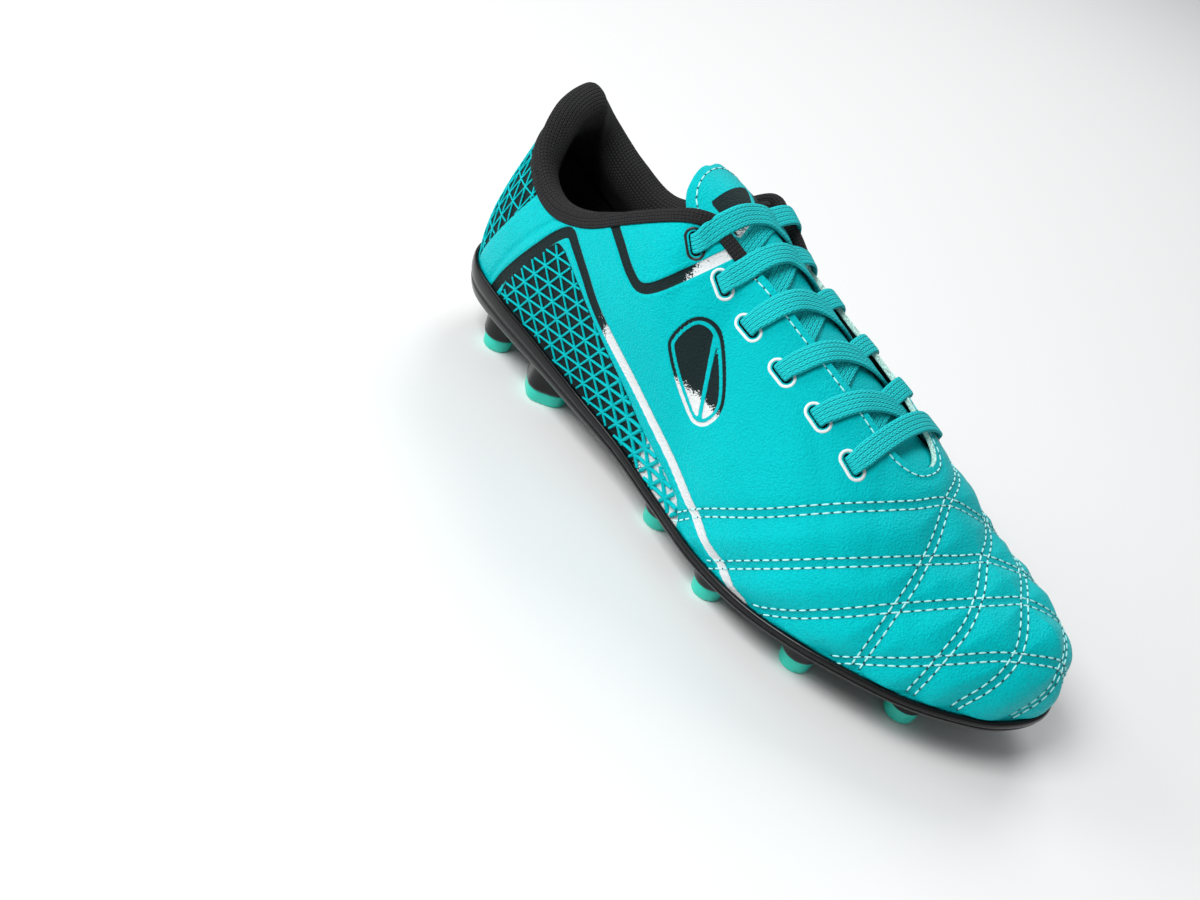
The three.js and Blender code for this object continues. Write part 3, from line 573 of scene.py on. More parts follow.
# Panels of the upper, drawn on the last as (row, share of the rib) from the feather line up
panels = {
    "band": [(2.72, -0.02), (2.93, 0.21), (3.33, 0.61), (3.62, 0.81), (3.86, 0.87), (4.12, 0.79),
             (4.55, 0.62), (5.1, 0.42), (6.15, 0.23), (7.3, 0.12), (8.35, 0.05), (9.1, -0.02)],
    "vee": [(4.53, 1.0), (4.72, 0.92), (4.98, 0.82), (5.36, 0.68), (5.62, 0.625), (5.95, 0.65),
            (6.5, 0.70), (6.75, 0.77), (6.92, 0.83)],
    "groove": [(3.62, 1.0), (3.4, 0.93), (3.23, 0.83), (2.9, 0.55), (2.68, 0.24), (2.5, 0.0)],
    "lattice": [(3.74, 0.77), (3.55, 0.69), (3.36, 0.55), (3.02, 0.18), (2.88, -0.1), (4.1, -0.1),
                (5.05, -0.06), (6.6, -0.05), (7.6, -0.03), (7.35, 0.07), (6.28, 0.14), (5.43, 0.28),
                (4.58, 0.52), (3.96, 0.73)],
    "badge": [(6.62, 0.535), (6.43, 0.46), (6.5, 0.40), (6.8, 0.31), (7.1, 0.275), (7.36, 0.31),
              (7.45, 0.39), (7.12, 0.49), (6.86, 0.54)],
    "bandHalf": 2.0, "veeHalf": 1.9, "deboss": 0.42, "latticeDeep": 0.6, "grooveDeep": 0.7,
    "badgeLine": 0.65, "badgeInset": 2.5, "badgeGap": 0.8, "badgeDeep": 0.3, "lipHigh": 0.22,
}
# Double seams of the toe: up the lateral side, over the ridge and down the medial side, and their mirror
# images the other way
seams = {
    "paths": [
        [(7.3, -0.02), (7.83, 0.12), (8.65, 0.29), (9.58, 0.56), (10.15, 0.80), (10.42, 1.0),
         (19.3, 0.80), (19.1, 0.6), (19.0, 0.37), (18.95, 0.12), (18.95, -0.02)],
        [(8.15, -0.02), (9.03, 0.17), (10.03, 0.43), (11.05, 0.81), (11.45, 1.0), (18.1, 0.82),
         (17.85, 0.6), (17.86, 0.35), (17.9, 0.1), (17.9, -0.02)],
        [(9.1, -0.02), (9.75, 0.09), (10.23, 0.21), (11.0, 0.45), (11.75, 0.68), (12.4, 0.86), (13.0, 1.0),
         (16.5, 0.64), (16.65, 0.38), (17.0, 0.12), (17.1, -0.02)],
        [(10.55, -0.02), (11.2, 0.12), (11.6, 0.21), (12.28, 0.37), (13.1, 0.53), (14.1, 0.60), (15.0, 0.50),
         (15.3, 0.31), (15.8, 0.07), (15.9, -0.02)]],
    "apart": 2.8, "puff": 0.9, "sink": 0.55, "stitch": 2.7, "pitch": 3.6, "thread": 0.62,
}
creases = [  # row and share of the ends, depth and half width in millimetres
    {"path": [(8.6, 0.62), (9.3, 0.5), (9.8, 0.35)], "deep": 0.35, "wide": 3.2},
    {"path": [(9.6, 0.8), (10.0, 0.62), (10.35, 0.45)], "deep": 0.3, "wide": 3.0},
    {"path": [(7.6, 0.35), (8.4, 0.3), (9.0, 0.2)], "deep": 0.25, "wide": 3.6},
    {"path": [(10.9, 0.7), (11.3, 0.5), (11.5, 0.3)], "deep": 0.25, "wide": 2.6},
]
eyelets = {
    "lateral": [(-35.6, -28.2), (-21.4, -25.6), (-6.2, -25.3), (12, -25.8), (30, -25.2), (47.6, -24.4)],
    "medial": [(-33.5, 27.5), (-20.2, 27.2), (-5, 26.8), (12.9, 27.2), (30.5, 27.6), (47.7, 27)],
    "slotLong": 8.2, "slotWide": 3.4, "ringOut": 0.95, "ringHalf": 0.68, "ringSunk": 0.38,
}
throatEdge = [(-44, 19), (-36, 20.5), (-30, 20.2), (-24, 18.8), (-14, 17.2), (0, 16.2), (20, 14.8),
              (38, 13.2), (50, 11.8), (56, 9.6), (60, 5.6), (61.4, 0), (60, -5.6)]
throatEnd = 61.4


def throatMiddle(x):
    return 2 * np.clip((np.asarray(x) + 30) / 90, 0, 1)


throatCurve = curveThrough(throatEdge, 0.5)
throatCurve = throatCurve[:int(np.argmin(np.abs(throatCurve[:, 1]))) + 1]


def throatHalf(x):
    half = np.interp(x, throatCurve[:, 0], throatCurve[:, 1])
    return np.where((x < throatEdge[0][0]) | (x > throatCurve[-1, 0]), -1, half)


upperGrid = {"half": 360, "rings": 104, "innerRings": 10}


def makeStations():
    # Even steps round the shoe, closer together where the throat ends
    rows = np.linspace(0, toeRow, 6001)
    foot, top = featherPoint(rows), topPoint(rows)
    footSteps, topSteps = (np.linalg.norm(np.diff(line, axis=0), axis=1) for line in (foot, top))
    steps = footSteps + 0.6 * topSteps
    ridge = np.where((rows > closeRow) & (top[:, 0] < throatEnd))[0][-1]
    density = 1 + 2.5 * np.exp(-((rows[1:] - rows[ridge]) / 0.25) ** 2)
    length = np.concatenate([[0], np.cumsum(steps * density)])
    at = np.linspace(0, length[-1], upperGrid["half"] + 1)
    end = int(np.argmin(np.abs(at - length[ridge])))
    at = np.interp(np.arange(len(at)), [0, end, len(at) - 1], [0, length[ridge], length[-1]])
    return np.interp(at, length, rows), end


halfRows, throatStation = makeStations()
stations = np.concatenate([halfRows, loopLength - halfRows[-2:0:-1]])
stationCount = len(stations)
mirrorOf = (stationCount - np.arange(stationCount)) % stationCount


def topShare(u):
    # Share of each rib where the throat cuts it, 1 where it runs to the collar or to the ridge
    t = np.linspace(0.35, 1, 521)
    p = onUpper(u[:, None], t[None, :])
    gap = np.abs(p[..., 1] - throatMiddle(p[..., 0])) - throatHalf(p[..., 0])
    gap[rowOf(u) < 5.2] = 1
    inside = gap < 0
    first = np.argmax(inside, axis=1)
    rows = np.arange(len(u))
    before = np.maximum(first - 1, 0)
    g0, g1 = gap[rows, before], gap[rows, first]
    step = np.where(np.abs(g0 - g1) < 1e-9, 1, g0 - g1)
    cut = t[before] + (t[first] - t[before]) * np.clip(g0 / step, 0, 1)
    cut = np.where(inside.any(axis=1) & (first > 0), cut, 1.0)
    # the corner between the collar and the throat is rounded
    soft = np.convolve(np.pad(cut, 24, "wrap"), np.hanning(51)[1:-1] / np.hanning(51).sum(), "valid")
    corner = ease(rowOf(u), 4.9, 5.5) * (1 - ease(rowOf(u), 6.7, 7.0))
    return cut + (np.minimum(soft, cut) - cut) * corner


shares = topShare(stations)
closed = np.minimum(np.arange(stationCount), mirrorOf) >= throatStation
shares[closed] = 1


def belowFeather(u, d, offset):
    drop = smooth(u, "tuck") * (0.35 * d + 0.65 * d * d)
    p = featherPoint(u) + outward(u) * (offset - drop)[..., None]
    p[..., 2] = featherPoint(u)[..., 2] - d * smooth(u, "rim")
    return p


def seatShare(u):
    return (smooth(u, "rim") - last["floorThick"] - last["gap"]) / smooth(u, "rim")


searchRows, searchShares = np.meshgrid(np.arange(0, loopLength, 0.2), np.arange(0.3, 1.001, 0.05),
                                       indexing="ij")
searchPoints = onUpper(searchRows, searchShares).reshape(-1, 3)


def findPlaces(x, y, lowest=50):
    # Places on the upper above points of the plan, and the normals there
    x, y = (np.atleast_1d(np.asarray(v, float)).ravel() for v in (x, y))
    d = (searchPoints[:, 0] - x[:, None]) ** 2 + (searchPoints[:, 1] - y[:, None]) ** 2
    k = np.argmin(np.where(searchPoints[:, 2] > lowest, d, 1e9), axis=1)
    u, t = searchRows.ravel()[k], searchShares.ravel()[k]
    h = 0.01
    for _ in range(8):
        ht = np.where(t > 0.98, -h, h)
        p = onUpper(u, t)
        pu, pt = (onUpper(u + h, t) - p) / h, (onUpper(u, t + ht) - p) / ht[:, None]
        det = pu[:, 0] * pt[:, 1] - pu[:, 1] * pt[:, 0]
        det = np.where(np.abs(det) < 1e-6, 1e9, det)
        ex, ey = x - p[:, 0], y - p[:, 1]
        u = u + np.clip((ex * pt[:, 1] - ey * pt[:, 0]) / det, -0.3, 0.3)
        t = np.clip(t + np.clip((pu[:, 0] * ey - pu[:, 1] * ex) / det, -0.2, 0.2), 0.05, 1)
    return onUpper(u, t), upperNormal(u, t)


def slotFrame(place):
    # Centre, long way, across and normal of an eyelet slot
    near, normals = findPlaces([place[0], place[0] + 3, place[0] - 3], [place[1]] * 3)
    point, normal, ahead = near[0], normals[0], unit(near[1] - near[2])
    across = unit(np.cross(normal, ahead))
    return point, unit(np.cross(across, normal)), across, normal


slots = [slotFrame(place) for side in ("lateral", "medial") for place in eyelets[side]]


def bareSurface():
    us, ts = np.meshgrid(np.arange(0, loopLength, 0.06), np.linspace(0, 1, 51), indexing="ij")
    points, faces = skin(onUpper(us, ts))
    return BVHTree.FromPolygons(points.tolist(), faces.tolist())


bareTree = bareSurface()


def onBare(points):
    return np.array([bareTree.find_nearest(Vector(p))[0] for p in points])


def seamPath(path, mirrored):
    corners = np.vstack([onUpper(loopLength - u if mirrored else u, t) for u, t in path])
    return curveThrough(onBare(curveThrough(corners)))


seamPaths = [seamPath(path, mirrored) for mirrored in (False, True) for path in seams["paths"]]


def heelWrap(p):
    # Way round the heel from its middle, in millimetres
    return 28 * np.arctan2(np.abs(p[..., 1]), -98 - p[..., 0])


heelPanel = {"edge": 37.5, "slope": 0.43, "height": 71.6, "bottom": 31, "base": 4.9, "rise": 8.1}


def upperFields(p):
    seam = np.minimum.reduce([lineDistance(p, path) for path in seamPaths])
    band, vee, groove = (np.minimum(lineDistance(p, drawn(panels[name])),
                                    lineDistance(p, drawn(panels[name], True)))
                         for name in ("band", "vee", "groove"))
    rows, marks = np.array(panels["lattice"]).T
    sides = [outlineDistance(p, onUpper(u, marks)) for u in (rows, loopLength - rows)]
    lattice = np.where(p[..., 1] > 0, sides[1], sides[0])
    rows, marks = np.array(panels["badge"]).T
    badge = outlineDistance(p, curveThrough(onUpper(rows, marks), 1.0, True))
    badge = np.where(p[..., 1] > 0, 12, badge)
    edge = heelPanel["edge"] - heelPanel["slope"] * (heelPanel["height"] - p[..., 2])
    heel = np.maximum(heelWrap(p) - edge, heelPanel["bottom"] - p[..., 2])
    heel = np.where(p[..., 0] < -84, np.clip(heel, -12, 12), 12)
    slant = np.abs((p[..., 0] + 7) * 0.9 + (p[..., 2] - 65) * 0.44)
    middle = np.maximum(badge + panels["badgeInset"], panels["badgeGap"] - slant)
    bar = np.minimum(np.abs(badge + panels["badgeLine"]) - panels["badgeLine"], middle)
    printed = np.stack([band - panels["bandHalf"], vee - panels["veeHalf"], lattice, bar, heel])
    inks = np.stack([ease(p[..., 0], -62, -38), ease(p[..., 0], -36, -26), ease(p[..., 0], -26, -6),
                     1 - ease(p[..., 2], 55, 63), 0 * p[..., 0]])
    nearest = np.argmin(printed, axis=0)[None]
    return {"paintDist": np.clip(printed.min(axis=0), -3, 6), "seamDist": seam,
            "ink": np.take_along_axis(inks, nearest, 0)[0],
            "band": band, "vee": vee, "groove": groove, "lattice": lattice, "heel": heel, "badge": bar}


def upperRelief(p, fields, edgeDistance):
    seam = fields["seamDist"]
    front = ease(p[..., 0] - 1.1 * (p[..., 2] - 17) - 5, 0, 12)
    height = seams["puff"] * ease(seam, 1.2, 8.5) * front - seams["sink"] * np.exp(-(seam / 2.6) ** 2)
    for name, half in (("band", panels["bandHalf"]), ("vee", panels["veeHalf"])):
        d = fields[name]
        height += panels["lipHigh"] * np.exp(-((d - half - 1.0) / 0.7) ** 2)
        height -= panels["deboss"] * (1 - ease(d, half - 0.35, half + 0.35))
    height -= panels["grooveDeep"] * np.exp(-(fields["groove"] / 0.9) ** 2)
    height -= panels["latticeDeep"] * (1 - ease(np.minimum(fields["lattice"], fields["heel"]), -0.6, 0.2))
    height -= panels["badgeDeep"] * (1 - ease(fields["badge"], -0.5, 0.3))
    height -= 0.25 * np.exp(-((edgeDistance - 3.2) / 0.9) ** 2)
    for crease in creases:
        for medial in (False, True):
            d = lineDistance(p, drawn(crease["path"], medial, 2.0))
            height -= crease["deep"] * np.exp(-(d / crease["wide"]) ** 2)
    return height


def softened(values, width=7):
    kernel = np.hanning(width + 2)[1:-1]
    kernel /= kernel.sum()
    return np.stack([np.convolve(np.pad(values[:, k], width // 2, "edge"), kernel, "valid")
                     for k in range(values.shape[1])], -1)


def surfaceNormals(p):
    along = np.roll(p, -1, axis=0) - np.roll(p, 1, axis=0)
    up = np.gradient(p, axis=1)
    return unit(np.cross(along, up))


def buildUpper():
    rings = upperGrid["rings"]
    s = np.linspace(0, 1, rings + 1)
    p = onUpper(stations[:, None], shares[:, None] * s[None, :])
    normals = surfaceNormals(p)
    normals[closed, -1] = unit(normals[closed, -1] + normals[mirrorOf[closed], -1])
    lateral = np.arange(0, throatStation + 1)
    rim = np.concatenate([lateral, mirrorOf[lateral[-2:0:-1]]])  # stations round the collar and the throat
    edge = p[rim, -1]
    ahead = unit(np.roll(edge, -1, axis=0) - np.roll(edge, 1, axis=0))
    beyond = unit(np.cross(ahead, normals[rim, -1]))
    beyond[np.einsum("ij,ij->i", beyond, edge - p[rim, -4]) < 0] *= -1
    beyond[throatStation] = (-1, 0, 0)
    fields = upperFields(p)
    edgeDistance = lineDistance(p, edge[rowOf(stations[rim]) > 5.9], 9)
    height = upperRelief(p, fields, edgeDistance)
    height *= ease(s, 0, 0.02)[None, :]
    height[closed, -1] = (height[closed, -1] + height[mirrorOf[closed], -1]) / 2
    outer = p + normals * height[..., None]
    below = [belowFeather(stations, seatShare(stations) * k, 0 * stations) for k in (1, 0.5, 0.04)]
    outer = np.concatenate([np.stack(below, 1), outer], axis=1)
    innerAt = np.round(np.linspace(0, rings, upperGrid["innerRings"])).astype(int)
    inner = p[:, innerAt] - normals[:, innerAt] * last["wall"]
    under = [belowFeather(stations, seatShare(stations) * k, 0 * stations - last["wall"])
             for k in (1, 0.5)]
    inner = np.concatenate([np.stack(under, 1), inner], axis=1)
    n, m, k = stationCount, outer.shape[1], inner.shape[1]
    idOuter = np.arange(n * m).reshape(n, m)
    idInner = n * m + np.arange(n * k).reshape(n, k)
    second = np.where(closed & (np.arange(n) > n // 2))[0]
    idOuter[second, -1] = idOuter[mirrorOf[second], -1]
    idInner[second, -1] = idInner[mirrorOf[second], -1]
    wall, roll = last["wall"], 0.45
    rollPoints = [edge + beyond * b + normals[rim, -1] * a for a, b in
                  ((-0.1, roll * 0.7), (-roll, roll), (-wall + roll, roll), (-wall + 0.1, roll * 0.7))]
    idRoll = n * (m + k) + np.arange(4 * len(rim)).reshape(4, len(rim))
    edgeRows = np.vstack([idOuter[rim, -1][None], idRoll, idInner[rim, -1][None]]).T
    outerFaces = gridFaces(idOuter, True)
    innerFaces = gridFaces(idInner, True, flip=True)
    bottom = gridFaces(np.stack([idInner[:, 0], idOuter[:, 0]], 1), True)
    edgeFaces = gridFaces(edgeRows, True)
    edgeRow = np.repeat(stations[rim], edgeRows.shape[1] - 1)
    edgeTag = np.where(rowOf(edgeRow) < 6.0, 1, np.where(edgeRow < toeRow, 0, 2))
    tag = np.concatenate([np.zeros(len(outerFaces)), np.ones(len(innerFaces)), np.ones(len(bottom)),
                          edgeTag]).astype(int)
    points = np.vstack([outer.reshape(-1, 3), inner.reshape(-1, 3)] + rollPoints)
    piece, _ = addPiece("upperBody", points, [outerFaces, innerFaces, bottom, edgeFaces],
                        [upperLeather, liningFabric, foamEdge], tag)
    return piece, edge, normals[rim, -1], beyond, rim


def stadium(long, wide, steps=10):
    r = wide / 2
    a = np.linspace(-math.pi / 2, math.pi / 2, steps)
    half = np.stack([long / 2 - r + r * np.cos(a), r * np.sin(a)], 1)
    return np.vstack([half, -half])


def slotCutters():
    points, faces = [], []
    outline = stadium(eyelets["slotLong"], eyelets["slotWide"])
    n = len(outline)
    for point, ahead, across, normal in slots:
        base = len(points) * 2 * n
        ring = point + outline[:, :1] * ahead + outline[:, 1:] * across
        points.append(np.vstack([ring - normal * 4, ring + normal * 4]))
        ids = base + np.arange(2 * n).reshape(2, n)
        faces.append(gridFaces(ids.T, True))
        faces += [ids[0][::-1][None], ids[1][None]]
    sides, ends = np.vstack(faces[::3]), np.vstack([f for k, f in enumerate(faces) if k % 3])
    return addPiece("slotCutters", np.vstack(points), [sides, ends], [liningFabric])[0]


def bake(piece):
    # The evaluated mesh replaces the piece's own, and its modifiers go
    graph = bpy.context.evaluated_depsgraph_get()
    mesh = bpy.data.meshes.new_from_object(piece.evaluated_get(graph), preserve_all_data_layers=True,
                                           depsgraph=graph)
    piece.modifiers.clear()
    piece.data = mesh
    return piece


def subtract(piece, cutter, operation="DIFFERENCE"):
    cut = piece.modifiers.new("cut", "BOOLEAN")
    cut.object, cut.operation, cut.solver = cutter, operation, "MANIFOLD"
    bake(piece)
    bpy.data.objects.remove(cutter)
    return piece


def meshPoints(piece):
    points = np.zeros(len(piece.data.vertices) * 3)
    piece.data.vertices.foreach_get("co", points)
    return (points.reshape(-1, 3) - np.array(shift)) / mm


upper, throatLine, throatNormals, throatBeyond, rimStations = buildUpper()
print("upper body", len(upper.data.polygons), "faces")
subtract(upper, slotCutters())
for name, values in upperFields(meshPoints(upper)).items():
    if name in ("paintDist", "ink", "seamDist"):
        setField(upper, name, values)
placed(upper, "upper_leather", "upper")
print("upper cut", len(upper.data.polygons), "faces")


def spinePoint(u, z):
    mirror = loopLength - np.mod(u, loopLength)
    x, y = ((smooth(u, name) + smooth(mirror, name)) / 2 for name in ("spine", "lat"))
    return stack(x, y, z)


def undersideZ(u):
    mirror = loopLength - np.mod(u, loopLength)
    rims = [smooth(v, "feather") - smooth(v, "rim") for v in (u, mirror)]
    return (rims[0] + rims[1]) / 2 + last["lipStep"]


def towards(edge, spine, distance, z):
    level = (spine - edge)[..., :2]
    length = np.linalg.norm(level, axis=-1)
    share = np.minimum(distance / np.maximum(length, 1e-6), 0.92)[..., None]
    return np.concatenate([edge[..., :2] + level * share, np.asarray(z)[..., None]], -1)


# Outsole
roundStuds = {"lateral_1": (101, -15, 0.9), "lateral_2": (67, -32, 0), "lateral_3": (29, -36.5, 0),
              "lateral_4": (-4, -27.5, 0), "medial_1": (111, 17, 0.9), "medial_2": (83, 27, 0),
              "medial_3": (44, 29.5, 0), "medial_4": (11, 17.5, 0), "heel_lateral": (-107, -16, 0),
              "heel_medial": (-107, 16, 0)}
bladeStuds = {"blade_lateral": (-76, -19.5, -90), "blade_medial": (-76, 19, 90), "blade_centre": (52, -1, 0)}
soleShape = {"stations": 480, "columns": 54, "tipHeight": 5.6, "tipRadius": 6, "gap": 0.08, "ringAt": 11.2,
             "ringHigh": 0.7, "flowHigh": 0.7}
chevron = [(9, 0), (1.5, 9.5), (-4, 9.5), (-5, 7.2), (0.6, 0), (-5, -7.2), (-4, -9.5), (1.5, -9.5)]
flowLine = [(118, -4), (108, 4), (98, 8), (86, 8), (74, 3), (64, -6), (52, -14), (38, -17), (22, -16),
            (4, -12)]
dropLine = [(108, -2), (98, -6), (88, -14), (84, -24), (90, -27), (98, -22), (106, -12)]


def evenRows(count):
    # Even steps along the lateral side and the same rows back on the medial one, so they meet in the middle
    rows = np.linspace(0, toeRow, 3001)
    length = runLength(featherPoint(rows))
    half = np.interp(np.linspace(0, length[-1], count // 2 + 1), length, rows)
    return np.concatenate([half, loopLength - half[-2:0:-1]])


def soleRelief(p):
    # Raised rings round the studs and a smooth flow line through the forefoot; down is outward here
    flat = p * [1, 1, 0]
    height = np.zeros(p.shape[:-1])
    for x, y, _ in roundStuds.values():
        d = np.hypot(p[..., 0] - x, p[..., 1] - y)
        height += soleShape["ringHigh"] * np.exp(-((d - soleShape["ringAt"]) / 0.75) ** 2)
        height -= 0.45 * (1 - ease(d, soleShape["ringAt"] - 2.5, soleShape["ringAt"] - 0.8))
    for line in (flowLine, dropLine + dropLine[:1]):
        path = curveThrough(np.array([(x, y, 0) for x, y in line]), 1.5)
        height += soleShape["flowHigh"] * np.exp(-(lineDistance(flat, path) / 0.9) ** 2)
    return height


def buildSolePlate():
    u = evenRows(soleShape["stations"])
    gap, thick, lip = soleShape["gap"], last["gap"] + last["rimThick"], last["lipWidth"]
    low = belowFeather(u, 1, 0 * u + thick - 0.8)
    under = undersideZ(u)
    spineLow = spinePoint(u, under)
    inner = towards(low, spineLow, lip + 1.2, low[:, 2] + last["lipStep"])
    shares = np.linspace(0, 1, soleShape["columns"]) ** 0.8
    field = spineLow[:, None] * (1 - shares[:, None]) + inner[:, None] * shares[:, None]
    drop = soleRelief(field) * ease(1 - shares, 0, 0.12)[None]
    field[..., 2] -= drop
    rows = list(np.moveaxis(field, 1, 0))
    for distance, rise in ((lip + 0.7, 0.9), (lip + 0.3, 0.5), (lip, 0.16), (lip - 0.5, 0.02),
                           (lip * 0.5, -0.12), (1.1, 0.0), (0.5, 0.12), (0.12, 0.42)):
        rows.append(towards(low, spineLow, distance, low[:, 2] + rise * last["lipStep"]))
    for d, out in ((0.97, -0.62), (0.93, -0.3), (0.88, -0.1), (0.8, 0), (0.66, 0.04), (0.6, 0), (0.57, -0.3),
                   (0.54, -0.36), (0.48, -0.3), (0.44, -0.04), (0.36, 0), (0.2, -0.15), (0.08, -0.42),
                   (0.01, -0.75), (-0.02, -1.15)):
        rows.append(belowFeather(u, d, 0 * u + thick + out))
    rows.append(belowFeather(u, 0.0, 0 * u + gap + 0.1))
    floorShare = (smooth(u, "rim") - last["floorThick"]) / smooth(u, "rim")
    corner = belowFeather(u, floorShare, 0 * u + gap)
    spineHigh = spinePoint(u, under - last["lipStep"] + last["floorThick"])
    rows += [belowFeather(u, floorShare * 0.5, 0 * u + gap), corner]
    level = np.linalg.norm((spineHigh - corner)[:, :2], axis=1)
    rows += [towards(corner, spineHigh, level * 0.5, (corner[:, 2] + spineHigh[:, 2]) / 2), spineHigh]
    return (*skin(np.stack(rows, 1)), field.reshape(-1, 3))


def undersideAt(x, y):
    d = np.hypot(undersidePoints[:, 0] - x, undersidePoints[:, 1] - y)
    near = np.argsort(d)[:6]
    return undersidePoints[near, 2].mean()


def latheGrid(profile, x, y, segments=56):
    angles = np.linspace(0, 2 * math.pi, segments, endpoint=False)[:, None]
    radius, height = np.array(profile, float).T[:, None]
    return skin(stack(x + radius * np.cos(angles), y + radius * np.sin(angles), height))


def roundedOutline(points, cuts=3):
    ring = np.asarray(points, float)
    for _ in range(cuts):
        after = np.roll(ring, -1, axis=0)
        ring = np.stack([ring * 0.8 + after * 0.2, ring * 0.2 + after * 0.8], 1).reshape(-1, 2)
    return ring


def chevronGrid(x, y, turn, levels):
    # The arrow's plan grown about its own middle from the ground up to the plate; None closes it
    angle = math.radians(turn)
    ring = roundedOutline(chevron)
    offset = ring - [1.5, 0]
    away = offset / np.maximum(np.linalg.norm(offset, axis=1), 1)[:, None]
    grid = []
    for grow, z in levels:
        q = ring * 0 + [1.5, 0] if grow is None else ring + away * grow
        grid.append(stack(x + q[:, 0] * math.cos(angle) - q[:, 1] * math.sin(angle),
                          y + q[:, 0] * math.sin(angle) + q[:, 1] * math.cos(angle), z))
    return skin(np.stack(grid, 1))


def joined(parts):
    points, faces, base = [], [], 0
    for p, f in parts:
        points.append(p)
        faces.append(f + base)
        base += len(p)
    return np.vstack(points), np.vstack(faces)


platePoints, plateFaces, undersidePoints = buildSolePlate()
soleParts = [(platePoints, plateFaces)]
tipHeight, tipRadius = soleShape["tipHeight"], soleShape["tipRadius"]
for x, y, lift in roundStuds.values():
    top, low, r = undersideAt(x, y), tipHeight + lift, tipRadius
    soleParts.append(latheGrid([(0.01, low + 0.1), (r - 0.1, low + 0.1), (r + 0.3, low + 0.15),
                                (r + 0.55, low + 0.5), (r + 0.9, low + 1.6), (r + 1.3, top - 2.6),
                                (r + 1.8, top - 1.3), (r + 2.7, top - 0.35), (r + 3.6, top + 0.4),
                                (r + 3.4, top + 1.0), (0.01, top + 1.0)], x, y))
for x, y, turn in bladeStuds.values():
    top, low = undersideAt(x, y), tipHeight
    soleParts.append(chevronGrid(x, y, turn, [(None, low + 0.1), (0.1, low + 0.1), (0.55, low + 0.4),
                                              (0.8, low + 1.6), (1.1, top - 2), (1.7, top - 0.8),
                                              (2.8, top + 0.5), (2.8, top + 1.0), (None, top + 1.0)]))
solePoints, soleFaces = joined(soleParts)
sole, _ = addPiece("sole", solePoints, [soleFaces], [soleGloss])
placed(sealed(sole), "sole_plastic", "outsole")


def addTip(name, points, faces):
    tip, _ = addPiece("tip_" + name, points, [faces], [tipPlastic])
    placed(sealed(tip), "stud_tip_plastic", "stud_tip_" + name)


for name, (x, y, lift) in roundStuds.items():
    r, top = tipRadius, lift + tipHeight
    addTip(name, *latheGrid([(0.01, lift + 0.02), (2.7, lift), (2.9, lift + 0.3), (3.3, lift + 0.3),
                             (3.5, lift), (r - 1.35, lift), (r - 0.95, lift + 0.12),
                             (r - 0.6, lift + 0.45), (r - 0.4, lift + 0.9), (r - 0.05, top - 0.3),
                             (r - 0.15, top), (0.01, top)], x, y))
for name, (x, y, turn) in bladeStuds.items():
    addTip(name, *chevronGrid(x, y, turn, [(None, 0), (-1.35, 0), (-0.85, 0.12), (-0.5, 0.45),
                                           (-0.3, 0.9), (0.1, tipHeight - 0.2), (0, tipHeight),
                                           (None, tipHeight)]))
print("sole", len(sole.data.polygons), "faces")


# Insole
def buildInsole():
    u = evenRows(200)
    thick = last["insoleThick"]
    edge = belowFeather(u, seatShare(u), 0 * u - last["wall"] - 0.1)
    low = spinePoint(u, undersideZ(u) - last["lipStep"] + last["floorThick"] + last["gap"])
    length = np.linalg.norm((low - edge)[:, :2], axis=1)
    rows = [low, edge]
    for share, rise in ((0, thick - 1), (0.012, thick - 0.3), (0.035, thick), (0.1, thick),
                        (0.25, thick), (0.5, thick), (0.75, thick)):
        rows.append(towards(edge, low, length * share, edge[:, 2] * (1 - share) + low[:, 2] * share + rise))
    rows.append(low + [0, 0, thick])
    points, faces = skin(np.stack(rows, 1))
    return addPiece("insoleBoard", points, [faces], [insoleFabric])[0]


placed(sealed(buildInsole()), "insole_fabric", "insole")

# Collar: padded knit cuff along the topline. A profile point is an offset across the wall and a height
# along it from the topline, in millimetres
cuff = {"profile": [(-2.1, -25), (-2.1, -12), (-2.1, -2), (-1.2, -0.6), (0.35, -0.7), (0.8, 0.5),
                    (0.5, 2.2), (-1.6, 3.4), (-5.2, 3.1), (-8.6, 1.0), (-10.4, -3), (-9.8, -9),
                    (-6.8, -17), (-3.4, -25)],
        "end": 6.1, "rings": 280, "step": 1.15}


def buildCuff():
    profile = curveThrough(cuff["profile"], cuff["step"], True)[:-1]
    u = np.mod(np.linspace(-cuff["end"], cuff["end"], cuff["rings"] + 1), loopLength)
    row = rowOf(u)
    thin = 1 - 0.7 * ease(row, 3.9, cuff["end"])
    depth = 1 - 0.64 * ease(row, 4.2, 5.8)
    clear = 1.3 * np.clip((row - 4.3) / 1.1, 0, 1)
    share = np.linspace(0, 1, 81)
    cut = np.interp(u, np.append(stations, loopLength), np.append(shares, shares[0]))
    rib = onUpper(u[:, None], share[None] * cut[:, None])
    length = [runLength(line) for line in rib]
    top, rise = rib[:, -1], unit(rib[:, -1] - rib[:, -4])
    grid = np.zeros((len(u), len(profile), 3))
    for k, (across, along) in enumerate(profile):
        height = along * depth
        inside = -2.85 - clear + min(across + 2.3, 0) * thin
        offset = across + (inside - across) * np.minimum(clear / 0.8, 1) if across > -2.3 else inside
        if height[0] >= 0:
            t = cut
            base = top + rise * (height * (thin / 2 + 0.5 if along > 1 else 1))[:, None]
        else:
            t = cut * np.array([np.interp(way[-1] + h, way, share) for way, h in zip(length, height)])
            base = onUpper(u, t)
        grid[:, k] = base + upperNormal(u, np.minimum(t, 0.995)) * np.asarray(offset)[..., None]
    piece = addTube("collarCuff", grid, collarMesh)
    setKnitFields(piece, grid, runLength(grid[:, 5]))
    return piece


